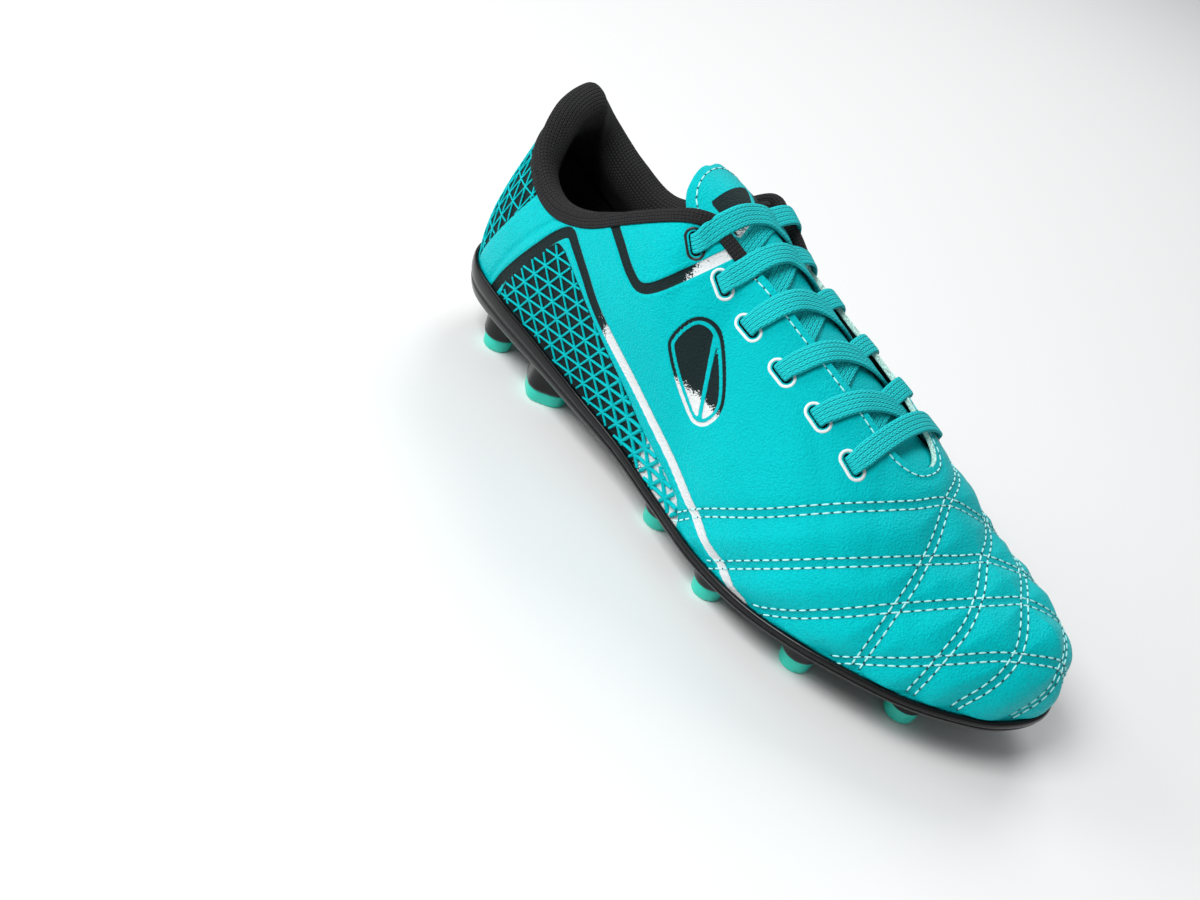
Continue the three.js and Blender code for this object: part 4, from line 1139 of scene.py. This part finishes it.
collar = placed(buildCuff(), "collar_mesh", "collar_lining")
print("collar", len(collar.data.polygons), "faces")

# Tongue: place along the shoe, half width and depth under the outside of the upper, then the free end
tongueShape = {"rows": [(70, 15, 2.2), (63, 17, 2.3), (57, 18.5, 2.7), (51, 19.8, 4.5), (42, 21.5, 5.2),
                        (28, 22.5, 5), (14, 23.5, 5), (0, 24, 5), (-13, 24, 5.1), (-22, 22.5, 5.2)],
               "free": [(-32, 20.3, 2.2), (-41, 18.8, 4.2), (-48, 17.6, 5.7), (-52.5, 16, 6.5),
                        (-55.8, 13.6, 7), (-57.9, 10, 7.3), (-59.1, 6, 7.5), (-59.5, 2, 7.6)],
               "arch": 7.4, "emblem": (-46.5, -31, 11.5),
               "thick": 2.6, "cross": 41, "step": 1.6}


def crownDrop(x, y):
    # The lace pulls the tongue down between the two rows of eyelets
    deep = np.interp(x, [-45, -24, -10, 5, 20, 45], [2.0, 3.6, 3.2, 2.2, 1.2, 0])
    return deep * np.maximum(1 - ((y - throatMiddle(x)) / 17.5) ** 2, 0)


def tongueSurface():
    s = np.linspace(-1, 1, tongueShape["cross"])
    rings = []
    for x, half, depth in tongueShape["rows"]:
        points, normal = findPlaces(0 * s + x, throatMiddle(x) + s * half, 30)
        ring = points - normal * (depth + crownDrop(x, points[:, 1]))[:, None]
        rings.append(np.stack([np.polyval(np.polyfit(s, ring[:, k], 4), s) for k in range(3)], -1))
    lastX, lastHalf, _ = tongueShape["rows"][-1]
    p = rings[-1]
    mid = p[len(s) // 2, 2]
    # past the upper the tongue turns into an evenly arched sheet with a rounded end
    for x, half, rise in tongueShape["free"]:
        share = min((lastX - x) / 16, 1)
        carried = stack(x + p[:, 0] - lastX, p[:, 1] * half / lastHalf, p[:, 2] + rise)
        arched = stack(x + 0 * s, s * half, mid + rise - tongueShape["arch"] * (s * half / 15) ** 2)
        rings.append(carried * (1 - share) + arched * share)
    rings = np.stack(rings)
    dense = [curveThrough(rings[:, k], 0.1) for k in range(len(s))]
    surface = np.stack([evenly(line, 92) for line in dense], 1)
    up = unit(np.cross(np.gradient(surface, axis=1), np.gradient(surface, axis=0)))
    y = surface[..., 1]
    free = ease(np.linspace(0, 1, 92), 0.72, 0.82)[:, None, None]
    return surface, unit(up * (1 - free) + unit(stack(0.2, 2 * tongueShape["arch"] * y / 225, 1.0)) * free)


def buildTongue():
    middle, up = tongueSurface()
    down = -up
    s = np.linspace(-1, 1, middle.shape[1])
    r = np.linspace(0, 1, middle.shape[0])
    sideEdge = np.clip((np.abs(s) - 0.93) / 0.07, 0, 1)[None]
    edge = np.maximum(sideEdge, np.clip((r - 0.975) / 0.025, 0, 1)[:, None])
    half = tongueShape["thick"] / 2 * np.sqrt(np.maximum(1 - edge ** 2, 0))
    padded = ease(r, 0.55, 0.8) * ease(1 - r, 0.02, 0.1)
    puff = 0.5 * ease(1 - np.abs(s), 0.06, 0.3)[None] * padded[:, None]
    centre = middle + down * tongueShape["thick"] / 2
    top = centre - down * (half + puff)[..., None]
    bottom = centre + down * half[..., None]
    n, m = middle.shape[:2]
    ids = np.arange(2 * n * m).reshape(2, n, m)
    loopIds = np.hstack([ids[0], ids[1][:, ::-1]])
    faces = gridFaces(loopIds, False, True, True)
    capA = gridFaces(np.stack([ids[1][-1], ids[0][-1]], 0), flip=True)
    capB = gridFaces(np.stack([ids[0][0], ids[1][0]], 0), flip=True)
    tag = np.zeros(len(faces) + len(capA) + len(capB), int)
    column = np.tile(np.arange(2 * m), n - 1)
    tag[:len(faces)] = (column >= m - 1)
    points = np.vstack([top.reshape(-1, 3), bottom.reshape(-1, 3)])
    piece, _ = addPiece("tongueBody", points, [faces, capA, capB], [upperLeather, liningFabric], tag)
    # a plain printed shape near the top: a rounded bar with a slanted gap
    low, high, half = tongueShape["emblem"]
    x, y = points[:, 0], points[:, 1]
    middle = (low + high) / 2
    box = np.maximum(np.abs(x - middle) - (high - low) / 2 + 3, np.abs(y) - half + 3)
    gapDistance = 0.9 - np.abs((y - 2) * 0.8 + (x - middle) * 0.6)
    setField(piece, "paintDist", np.clip(np.maximum(box - 3, gapDistance), -3, 6))
    setField(piece, "ink", 0.62 * ease(x, middle, high))
    setField(piece, "seamDist", 0 * x + 12)
    return piece, top.reshape(-1, 3)


tongue, tongueTop = buildTongue()
placed(tongue, "tongue_leather", "tongue")
print("tongue", len(tongue.data.polygons), "faces")

# Lace: one flat ribbon from the top lateral eyelet down and back up to the top medial one. A path point is
# a share of the way from one eyelet to the other and a height over the outside of the upper
lace = {"wide": 7.7, "thick": 1.3, "step": 0.9,
        "over": [(0.026, 1.8), (0.07, 1.45), (0.13, 1.35), (0.2, 1.4), (0.27, 0.7), (0.36, -0.7),
                 (0.44, -1.6), (0.5, -2.0), (0.6, -2.7), (0.68, -3.2), (0.76, -3.5), (0.88, -3.6),
                 (0.97, -3.6), (1.012, -2.2)],
        "under": [(0.026, 1.8), (0.07, 1.45), (0.13, 1.35), (0.19, 1.2), (0.26, 0.0), (0.34, -2.0),
                  (0.42, -3.3), (0.5, -3.8), (0.6, -3.9), (0.68, -3.9), (0.76, -3.8), (0.88, -3.6),
                  (0.97, -3.6), (1.012, -2.2)],
        "bar": [(0.026, 1.9), (0.07, 1.6), (0.15, 1.45), (0.27, 1.45), (0.4, 1.5), (0.5, 1.5), (0.6, 1.5),
                (0.73, 1.45), (0.85, 1.45), (0.93, 1.6), (0.974, 1.9)],
        "through": [(-0.012, -1.6), (-0.006, 0.4)]}
barPath = lace["through"] + lace["bar"] + [(1.006, 0.4), (1.012, -1.6)]


def strandPoints(start, end, path, reverse=False):
    shares, heights = np.array(path).T
    f = np.clip(shares, 0, 1)
    a, b = (np.array(eyelets[side][k]) for side, k in (start, end))
    plan = a + (b - a) * f[:, None]
    points, normals = findPlaces(plan[:, 0], plan[:, 1])
    level = np.append(b - a, 0)
    if path is not barPath:
        pulled = ease(f, 0.16, 0.3) * (1 - ease(f, 0.74, 0.86))
        heights = heights - crownDrop(points[:, 0], points[:, 1]) * pulled
    points = points + normals * heights[:, None] + level * (shares - f)[:, None]
    wide = np.stack([slots[6 * (side == "medial") + k][1] for side, k in (start, end)])
    near = np.clip(1 - np.minimum(f, 1 - f) / 0.2, 0, 1)
    slotWay = np.where((f < 0.5)[:, None], wide[0], wide[1])
    rows = (points, normals, slotWay, near)
    return [row[::-1] for row in rows] if reverse else rows


def buildLace():
    rows = []
    other = {"lateral": "medial", "medial": "lateral"}
    # down the shoe: out of each eyelet, across and under the other edge
    side = "lateral"
    for k in range(5):
        kind = "over" if side == "lateral" else "under"
        rows.append(strandPoints((side, k), (other[side], k + 1), lace["through"] + lace[kind]))
        side = other[side]
    rows.append(strandPoints((side, 5), (other[side], 5), barPath))
    side = other[side]
    for k in range(5, 0, -1):
        back = other[side]
        kind = "over" if back == "lateral" else "under"
        rows.append(strandPoints((back, k - 1), (side, k), lace["through"] + lace[kind], True))
        side = back
    points, normals, slotWay, near = (np.concatenate(part) for part in zip(*rows))
    fine = curveThrough(np.hstack([points, normals, slotWay, near[:, None]]), 0.25)
    length = runLength(fine[:, :3])
    at = np.linspace(0, length[-1], int(length[-1] / lace["step"]))
    fine = sampled(fine, length, at)
    near = np.clip(fine[:, 9:], 0, 1)
    held = ease(near, 0, 0.35)
    centre = fine[:, :3] * held + softened(fine[:, :3], 15) * (1 - held)
    normal = unit(unit(fine[:, 3:6]) * held + softened(fine[:, 3:6], 21) * (1 - held))
    slotWay = unit(fine[:, 6:9])
    along = unit(np.gradient(centre, axis=0))
    square = np.cross(along, normal)
    for k in range(len(square)):
        guide = square[k - 1] if k else slotWay[0]
        square[k] = square[k] if square[k] @ guide > 0 else -square[k]
    square = unit(square)
    across = square * (1 - near) + slotWay * np.sign((square * slotWay).sum(1, keepdims=True)) * near
    for k in range(1, len(across)):
        if across[k] @ across[k - 1] < 0:
            across[k] = -across[k]
    kernel = np.ones(5) / 5
    for _ in range(2):
        across = np.stack([np.convolve(np.pad(across[:, k], 2, "edge"), kernel, "valid")
                           for k in range(3)], -1)
    across = unit(across - along * (across * along).sum(1, keepdims=True))
    thick = np.cross(along, across)
    angles = np.linspace(0, 2 * math.pi, 28, endpoint=False)
    c, s = np.cos(angles), np.sin(angles)
    half = lace["wide"] / 2
    sx = np.sign(c) * np.abs(c) ** 0.55 * half
    sz = np.sign(s) * np.abs(s) ** 0.9 * lace["thick"] / 2
    sz = sz * (1 + 0.22 * np.abs(sx / half) ** 3)
    squeeze = 1 - 0.14 * ease(near, 0.6, 0.95)
    grid = centre[:, None] + (across * squeeze)[:, None] * sx[:, None] + thick[:, None] * sz[:, None]
    piece = addTube("laceRibbon", grid, laceWeave, True)
    setField(piece, "across", np.repeat((sx + half)[None], len(at), 0))
    setField(piece, "along", np.repeat(at[:, None], len(sx), 1))
    return piece, at[-1]


laceRibbon, laceLength = buildLace()
placed(laceRibbon, "lace_fabric", "lace_bar", *["lace_crossing_%d" % k for k in range(1, 6)])
print("lace", len(laceRibbon.data.polygons), "faces,", round(laceLength), "mm long")


# Binding: black knit over the throat edge, from the front of the collar down to the second eyelets.
# Profile: height over the outside and reach past the edge
binding = {"profile": [(0.2, -3.6), (0.75, -3.2), (1.05, -2), (1.1, -0.4), (0.6, 0.9), (-0.7, 1.5),
                       (-2.1, 1.0), (-2.8, -0.4), (-2.95, -2.6), (-2.7, -4.2), (-2.1, -4.6), (-1.9, -3.2),
                       (-1.9, -1.0), (-0.9, -0.1), (0, -0.4), (0.02, -2)],
           "fromRow": 0.8, "lateralEnd": -12, "medialEnd": -16, "smooth": 23}


def sweptAlong(name, centre, normal, beyond, profile, ends, material):
    # A closed profile carried along an edge; it shrinks to nothing over the last millimetres of its ends
    ring = curveThrough(profile, 0.9, True)[:-1]
    run = runLength(centre)
    scale = np.ones(len(run))
    for end, reach in zip((run, run[-1] - run), ends):
        scale *= 0.1 + 0.9 * ease(end, 0, reach)
    middle = ring.mean(0)
    shaped = middle + (ring - middle)[None] * scale[:, None, None]
    grid = centre[:, None] + normal[:, None] * shaped[..., :1] + beyond[:, None] * shaped[..., 1:]
    piece = addTube(name, grid, material)
    setKnitFields(piece, grid, run)
    return piece


rimRows = stations[rimStations]
for side, medial in (("lateral", False), ("medial", True)):
    rows = rowOf(rimRows)
    chosen = np.where((rows > binding["fromRow"]) & (throatLine[:, 0] < binding[side + "End"])
                      & ((rimRows > toeRow) == medial))[0]
    line, out = softened(throatLine[chosen], 9), unit(softened(throatNormals[chosen], binding["smooth"]))
    past = softened(throatBeyond[chosen], binding["smooth"])
    past = unit(past - out * (past * out).sum(1, keepdims=True))
    strip = sweptAlong("binding" + side.capitalize(), line, out, past, binding["profile"],
                       (4, 14) if medial else (14, 4), bindingWeave)
    placed(strip, "collar_mesh")
print("binding made")


# What repeats is made by Geometry Nodes: threads, dark needle-hole beads for painted shade, ribs and the
# tread's bumps
def geometryTree(name, numbers):
    tree = bpy.data.node_groups.new(name, "GeometryNodeTree")
    tree.interface.new_socket("Geometry", in_out="INPUT", socket_type="NodeSocketGeometry")
    for label, value in numbers.items():
        tree.interface.new_socket(label, in_out="INPUT", socket_type="NodeSocketFloat").default_value = value
    tree.interface.new_socket("Geometry", in_out="OUTPUT", socket_type="NodeSocketGeometry")
    return tree, tree.nodes.new("NodeGroupInput").outputs, tree.nodes.new("NodeGroupOutput").inputs


def vectorField(tree, name):
    node = addNode(tree, "GeometryNodeInputNamedAttribute", {"Name": name}, data_type="FLOAT_VECTOR")
    return node.outputs["Attribute"]


def finished(tree, pieces, out):
    # The end of each tree: real geometry, smooth shading and the material
    solid = addNode(tree, "GeometryNodeRealizeInstances", {"Geometry": pieces})
    smoothed = addNode(tree, "GeometryNodeSetShadeSmooth", {"Geometry": solid.outputs["Geometry"]})
    dressed = addNode(tree, "GeometryNodeSetMaterial", {"Geometry": smoothed.outputs["Geometry"]})
    tree.links.new(dressed.outputs["Geometry"], out["Geometry"])
    return tree, dressed


def makeBeadTree():
    # One rounded bead on each point, turned by the point's along and up vectors
    tree, given, out = geometryTree("beads", {"Long": 1.0, "Wide": 1.0, "High": 1.0})
    bead = addNode(tree, "GeometryNodeMeshIcoSphere", {"Radius": 0.5, "Subdivisions": 2})
    turn = addNode(tree, "FunctionNodeAxesToRotation",
                   {"Primary Axis": vectorField(tree, "way"), "Secondary Axis": vectorField(tree, "up")},
                   primary_axis="X", secondary_axis="Z")
    size = addNode(tree, "ShaderNodeCombineXYZ",
                   {"X": given["Long"], "Y": given["Wide"], "Z": given["High"]})
    beads = addNode(tree, "GeometryNodeInstanceOnPoints",
                    {"Points": given["Geometry"], "Instance": bead.outputs["Mesh"],
                     "Rotation": turn.outputs["Rotation"], "Scale": size.outputs["Vector"]})
    return finished(tree, beads.outputs["Instances"], out)


def makeRibTree():
    # A round rib along each edge, as thick as the points' radius
    tree, given, out = geometryTree("ribNetwork", {"Radius": 1.0})
    line = addNode(tree, "GeometryNodeMeshToCurve", {"Mesh": given["Geometry"]})
    radius = addNode(tree, "GeometryNodeInputNamedAttribute", {"Name": "thickness"}, data_type="FLOAT")
    scaled = calc(tree, "MULTIPLY", radius.outputs["Attribute"], given["Radius"])
    sized = addNode(tree, "GeometryNodeSetCurveRadius", {"Curve": line.outputs["Curve"], "Radius": scaled})
    profile = addNode(tree, "GeometryNodeCurvePrimitiveCircle", {"Resolution": 6, "Radius": 1.0})
    tube = addNode(tree, "GeometryNodeCurveToMesh",
                   {"Curve": sized.outputs["Curve"], "Profile Curve": profile.outputs["Curve"],
                    "Fill Caps": True, "Scale": scaled})
    return finished(tree, tube.outputs["Mesh"], out)


beadTree, ribTree = makeBeadTree(), makeRibTree()


def grow(name, points, edges, fields, treeAndEnd, numbers, material):
    # Runs one of the trees on points with named fields, and keeps the mesh it makes
    tree, dressed = treeAndEnd
    dressed.inputs["Material"].default_value = material
    mesh = bpy.data.meshes.new(name)
    mesh.from_pydata((np.asarray(points) * mm + np.array(shift)).tolist(), edges, [])
    for label, values in fields.items():
        values = np.asarray(values, np.float32)
        kind, key = ("FLOAT_VECTOR", "vector") if values.ndim == 2 else ("FLOAT", "value")
        mesh.attributes.new(label, kind, "POINT").data.foreach_set(key, values.ravel())
    piece = bpy.data.objects.new(name, mesh)
    bpy.context.scene.collection.objects.link(piece)
    maker = piece.modifiers.new("maker", "NODES")
    maker.node_group = tree
    names = {item.name: item.identifier for item in tree.interface.items_tree if item.in_out == "INPUT"}
    for label, value in numbers.items():
        maker[names[label]] = value
    bake(piece)
    for label in list(fields):
        if label in piece.data.attributes:
            piece.data.attributes.remove(piece.data.attributes[label])
    return piece


def treeOf(piece):
    faces = [tuple(face.vertices) for face in piece.data.polygons]
    return BVHTree.FromPolygons(meshPoints(piece).tolist(), faces)


upperTree = treeOf(upper)


def landed(tree, points, normals, reach=5.0):
    # Points dropped along their normals onto a surface
    hits, faces, kept = [], [], []
    for k, (p, n) in enumerate(zip(points, normals)):
        place, normal, _, _ = tree.ray_cast(Vector(p + n * reach), Vector(-n), 2 * reach)
        if place is not None:
            hits.append(place)
            faces.append(normal)
            kept.append(k)
    return np.array(hits), np.array(faces), np.array(kept)


def bareNormals(points):
    return np.array([bareTree.find_nearest(Vector(p))[1] for p in points])


def stitchLine(line, pitch, offset=0.0, lift=0.1, tree=None, upWay=None):
    # Places, directions and normals of stitches along a line on the upper
    line = curveThrough(line, pitch)
    middle = (line[:-1] + line[1:]) / 2
    way = unit(np.diff(line, axis=0))
    normal = bareNormals(middle)
    normal[np.einsum("ij,ij->i", normal, middle - [-20, 0, 50]) < 0] *= -1
    if upWay is not None:
        normal = np.tile(np.array(upWay, float), (len(middle), 1))
    across = unit(np.cross(normal, way))
    hit, face, kept = landed(tree or upperTree, middle + across * offset, normal)
    way = unit(way[kept] - face * (way[kept] * face).sum(1, keepdims=True))
    return hit + face * lift, way, face


def addBeads(name, slot, place, way, up, size, material):
    numbers = dict(zip(("Long", "Wide", "High"), np.array(size) * mm))
    return placed(grow(name, place, [], {"way": way, "up": up}, beadTree, numbers, material), slot)


def dressStitches(name, rows, slot, thread):
    place, way, up = (np.vstack(part) for part in zip(*rows))
    long, wide = seams["stitch"], seams["thread"] * thread
    addBeads(name, slot, place, way, up, (long, wide, wide * 0.8), threadPale)
    # dark beads just past both ends of each stitch mark the needle hole, darkened as painted shade where the
    # thread sinks in
    reach = way * (long / 2 + holeShade["past"])
    way, up = np.vstack([way, way]), np.vstack([up, up])
    ends = np.vstack([place + reach, place - reach]) - up * holeShade["sunk"]
    addBeads(name + "HoleShade", slot, ends, way, up, holeShade["size"], needleHoleShade)


holeShade = {"past": 0.28, "sunk": 0.06, "size": (0.7, 0.62, 0.2)}


def addRings(name, chosen, material):
    # Raised printed rings round eyelets
    points, edges = [], []
    wider = 2 * eyelets["ringOut"]
    outline = stadium(eyelets["slotLong"] + wider, eyelets["slotWide"] + wider, 14)
    for k in chosen:
        point, ahead, across, normal = slots[k]
        ring = point + outline[:, :1] * ahead + outline[:, 1:] * across
        hit, _, _ = landed(upperTree, ring, [normal] * len(outline))
        hit = curveThrough(hit - normal * eyelets["ringSunk"], 0.6, True)[:-1]
        first = sum(len(part) for part in points)
        points.append(hit)
        edges += [(first + j, first + (j + 1) % len(hit)) for j in range(len(hit))]
    points = np.vstack(points)
    addRibs(name, points, edges, np.full(len(points), eyelets["ringHalf"]), material)


def addRibs(name, points, edges, thickness, material):
    ribs = grow(name, points, edges, {"thickness": thickness}, ribTree, {"Radius": mm}, material)
    placed(ribs, "upper_leather")


# the top pair is black
addRings("eyeletRingsBlack", (0, 6), ringBlack)
addRings("eyeletRingsWhite", (1, 2, 3, 4, 5, 7, 8, 9, 10, 11), ringWhite)

stitchRows = []
for path in seamPaths:
    inner = path[2:-2]
    free = inner[lineDistance(inner, throatLine[rowOf(rimRows) > 6.5], 9) > 4.5]
    if len(free) > 4:
        for offset in (-seams["apart"] / 2, seams["apart"] / 2):
            stitchRows.append(stitchLine(free, seams["pitch"], offset))
dressStitches("seamThread", stitchRows, "upper_leather", 1.0)
front = np.where((throatLine[:, 0] > -30) & (rowOf(rimRows) > 6.2))[0]
inset = softened(throatLine[front] - throatBeyond[front] * 2.3, 9)
dressStitches("edgeThread", [stitchLine(inset, 3.3)], "upper_leather", 0.85)
hemEnd = [(-37, 17), (-44, 15.7), (-49.5, 14.3), (-53.2, 11.6), (-55.6, 7.4), (-56.6, 2.6)]
hem = np.array([(x, -y) for x, y in hemEnd] + hemEnd[::-1])
hemHeights = [tongueTop[np.argmin(np.hypot(*(tongueTop[:, :2] - place).T)), 2] for place in hem]
hemRow = stitchLine(np.column_stack([hem, hemHeights]), 3.3, tree=treeOf(tongue), upWay=(0, 0, 1.0))
dressStitches("tongueThread", [hemRow], "tongue_leather", 0.85)
print("stitches made")

# Ribs over the dark panels: three families of lines, cut off at the panel's outline
ribPattern = {"side": [(4.4, -4.8), (3.55, 6.2), (7.95, 1.4)], "start": (-85.1, 44.5),
              "thin": 0.42, "wide": 0.85, "heel": [(4.9, 0), (2.45, 8.1), (2.45, -8.1)],
              "heelStart": (27.7, 71.6), "heelThin": 0.34, "step": 0.8, "sunk": 0.28}


def latticeLines(ways, start, low, high):
    # Straight lines through the lattice's nodes, as dense points over a box
    lines = []
    for k, way in enumerate(ways):
        other = ways[(k + 1) % 3]
        way, other = np.array(way, float), np.array(other, float)
        length = np.linalg.norm(way)
        for j in range(-40, 41):
            middle = np.array(start) + other * j
            centre = (np.array(low) + np.array(high)) / 2
            middle = middle + way * ((centre - middle) @ way) / length ** 2
            at = np.arange(-90, 90, ribPattern["step"])[:, None] * way / length + middle
            inside = np.all((at > low) & (at < high), axis=1)
            if inside.sum() > 2:
                lines.append(at[inside])
    return lines


def ribRun(lines, toSurface, thicknessAt):
    points, edges, thickness = [], [], []
    for line in lines:
        run = []
        for q in line:
            place = toSurface(q)
            if place is None:
                run = []
                continue
            points.append(place)
            thickness.append(thicknessAt(place))
            if run and np.linalg.norm(points[-1] - points[run[-1]]) < 3:
                edges.append((run[-1], len(points) - 1))
            run.append(len(points) - 1)
    return points, edges, thickness


def sideSurface(sign):
    rows, marks = np.array(panels["lattice"]).T
    outline = onUpper(rows if sign < 0 else loopLength - rows, marks)

    def place(q):
        if outlineDistance(np.array([[q[0], 0, q[1]]]), outline)[0] > -0.1:
            return None
        hit, normal, _, _ = bareTree.ray_cast(Vector((q[0], sign * 90, q[1])), Vector((0, -sign, 0)), 88)
        if hit is None:
            return None
        normal = normal if normal.y * sign > 0 else -normal
        return np.array(hit - normal * ribPattern["sunk"])
    return place


def heelSurface(q):
    edge = heelPanel["edge"] - heelPanel["slope"] * (heelPanel["height"] - q[1])
    if abs(q[0]) > edge - 0.1 or q[1] < heelPanel["bottom"]:
        return None
    angle = q[0] / 28
    way = Vector((-math.cos(angle), math.sin(angle), 0))
    hit, normal, _, _ = bareTree.ray_cast(Vector((-98, 0, q[1])) + way * 70, -way, 68)
    if hit is None:
        return None
    normal = normal if normal.dot(way) > 0 else -normal
    return np.array(hit - normal * 0.3)


def sideThickness(p):
    grows = float(ease(p[0] + 0.35 * (p[2] - 40), -62, -5))
    return ribPattern["thin"] + (ribPattern["wide"] - ribPattern["thin"]) * grows


for side, sign in (("Lateral", -1), ("Medial", 1)):
    sideLines = latticeLines(ribPattern["side"], ribPattern["start"], (-105, 12), (20, 82))
    addRibs("sideRibs" + side, *ribRun(sideLines, sideSurface(sign), sideThickness), plainLeather)
heelLines = latticeLines(ribPattern["heel"], ribPattern["heelStart"], (-45, 30), (45, 112))
addRibs("heelRibs", *ribRun(heelLines, heelSurface, lambda p: ribPattern["heelThin"]), plainLeather)
print("ribs made")

# Small bumps under the forefoot and the waist, clear of the studs' rings, the flow line and the rim
tread = {"pitch": 2.7, "size": 1.7, "high": 0.9, "rim": 9.5, "ring": 13.2, "line": 3.2, "band": 4.5}


def makeTread():
    pitch = tread["pitch"]
    xs = np.arange(-58, 122, pitch * 0.866)
    ys = np.arange(-50, 50, pitch)
    p = np.array([(x, y + (k % 2) * pitch / 2, 0.0) for k, x in enumerate(xs) for y in ys])
    u = evenRows(240)
    edge = belowFeather(u, 1, 0 * u + 1.4) * [1, 1, 0]
    inside = outlineDistance(p, edge, (0, 1)) < -tread["rim"]
    for x, y, _ in [*roundStuds.values(), *bladeStuds.values()]:
        inside &= np.hypot(p[:, 0] - x, p[:, 1] - y) > tread["ring"]
    for line in (flowLine, dropLine + dropLine[:1]):
        inside &= lineDistance(p, curveThrough([(x, y, 0.0) for x, y in line], 2.0)) > tread["line"]
    drop = curveThrough([(x, y, 0.0) for x, y in dropLine], 2.0, True)
    inside &= outlineDistance(p, drop, (0, 1)) > 0
    band = curveThrough([(8, 0, 0.0), (-20, 0, 0), (-50, -1, 0), (-60, 0, 0)], 3.0)
    inside &= lineDistance(p, band) > tread["band"]
    p = p[inside]
    tree = BVHTree.FromPolygons(platePoints.tolist(), plateFaces.tolist())
    hit, face, _ = landed(tree, p, np.tile([0, 0, -1.0], (len(p), 1)), 40)
    way = np.tile([1.0, 0, 0], (len(hit), 1))
    size = (tread["size"], tread["size"], tread["high"])
    return addBeads("treadBumps", "sole_plastic", hit, way, face, size, soleGloss)


bumps = makeTread()
print("tread", len(bumps.data.polygons), "faces")

floorMesh = bpy.data.meshes.new("floor")
floorMesh.from_pydata([(-6, -6, 0), (6, -6, 0), (6, 6, 0), (-6, 6, 0)], [], [(0, 1, 2, 3)])
floor = bpy.data.objects.new("floor", floorMesh)
bpy.context.scene.collection.objects.link(floor)
floorMesh.materials.append(newMaterial("floorPale", (0.86, 0.86, 0.86, 1), 0.75)[0])
world = bpy.data.worlds.new("studio")
bpy.context.scene.world = world
world.use_nodes = True
world.node_tree.nodes["Background"].inputs["Color"].default_value = (0.93, 0.95, 0.97, 1)
world.node_tree.nodes["Background"].inputs["Strength"].default_value = 0.3
bpy.context.scene.view_settings.view_transform = "Standard"


def softLight(name, place, power, size, target=(0, 0, 0.05)):
    light = bpy.data.lights.new(name, "AREA")
    light.energy, light.size = power, size
    lamp = bpy.data.objects.new(name, light)
    lamp.location = place
    lamp.rotation_euler = (Vector(target) - Vector(place)).to_track_quat("-Z", "Y").to_euler()
    bpy.context.scene.collection.objects.link(lamp)


softLight("keyLight", (-0.25, -0.72, 1.0), 11.5, 0.55)
softLight("backLight", (-0.4, 0.8, 1.0), 6, 0.6)
softLight("fillLight", (-0.9, -0.6, 0.6), 4, 0.5)
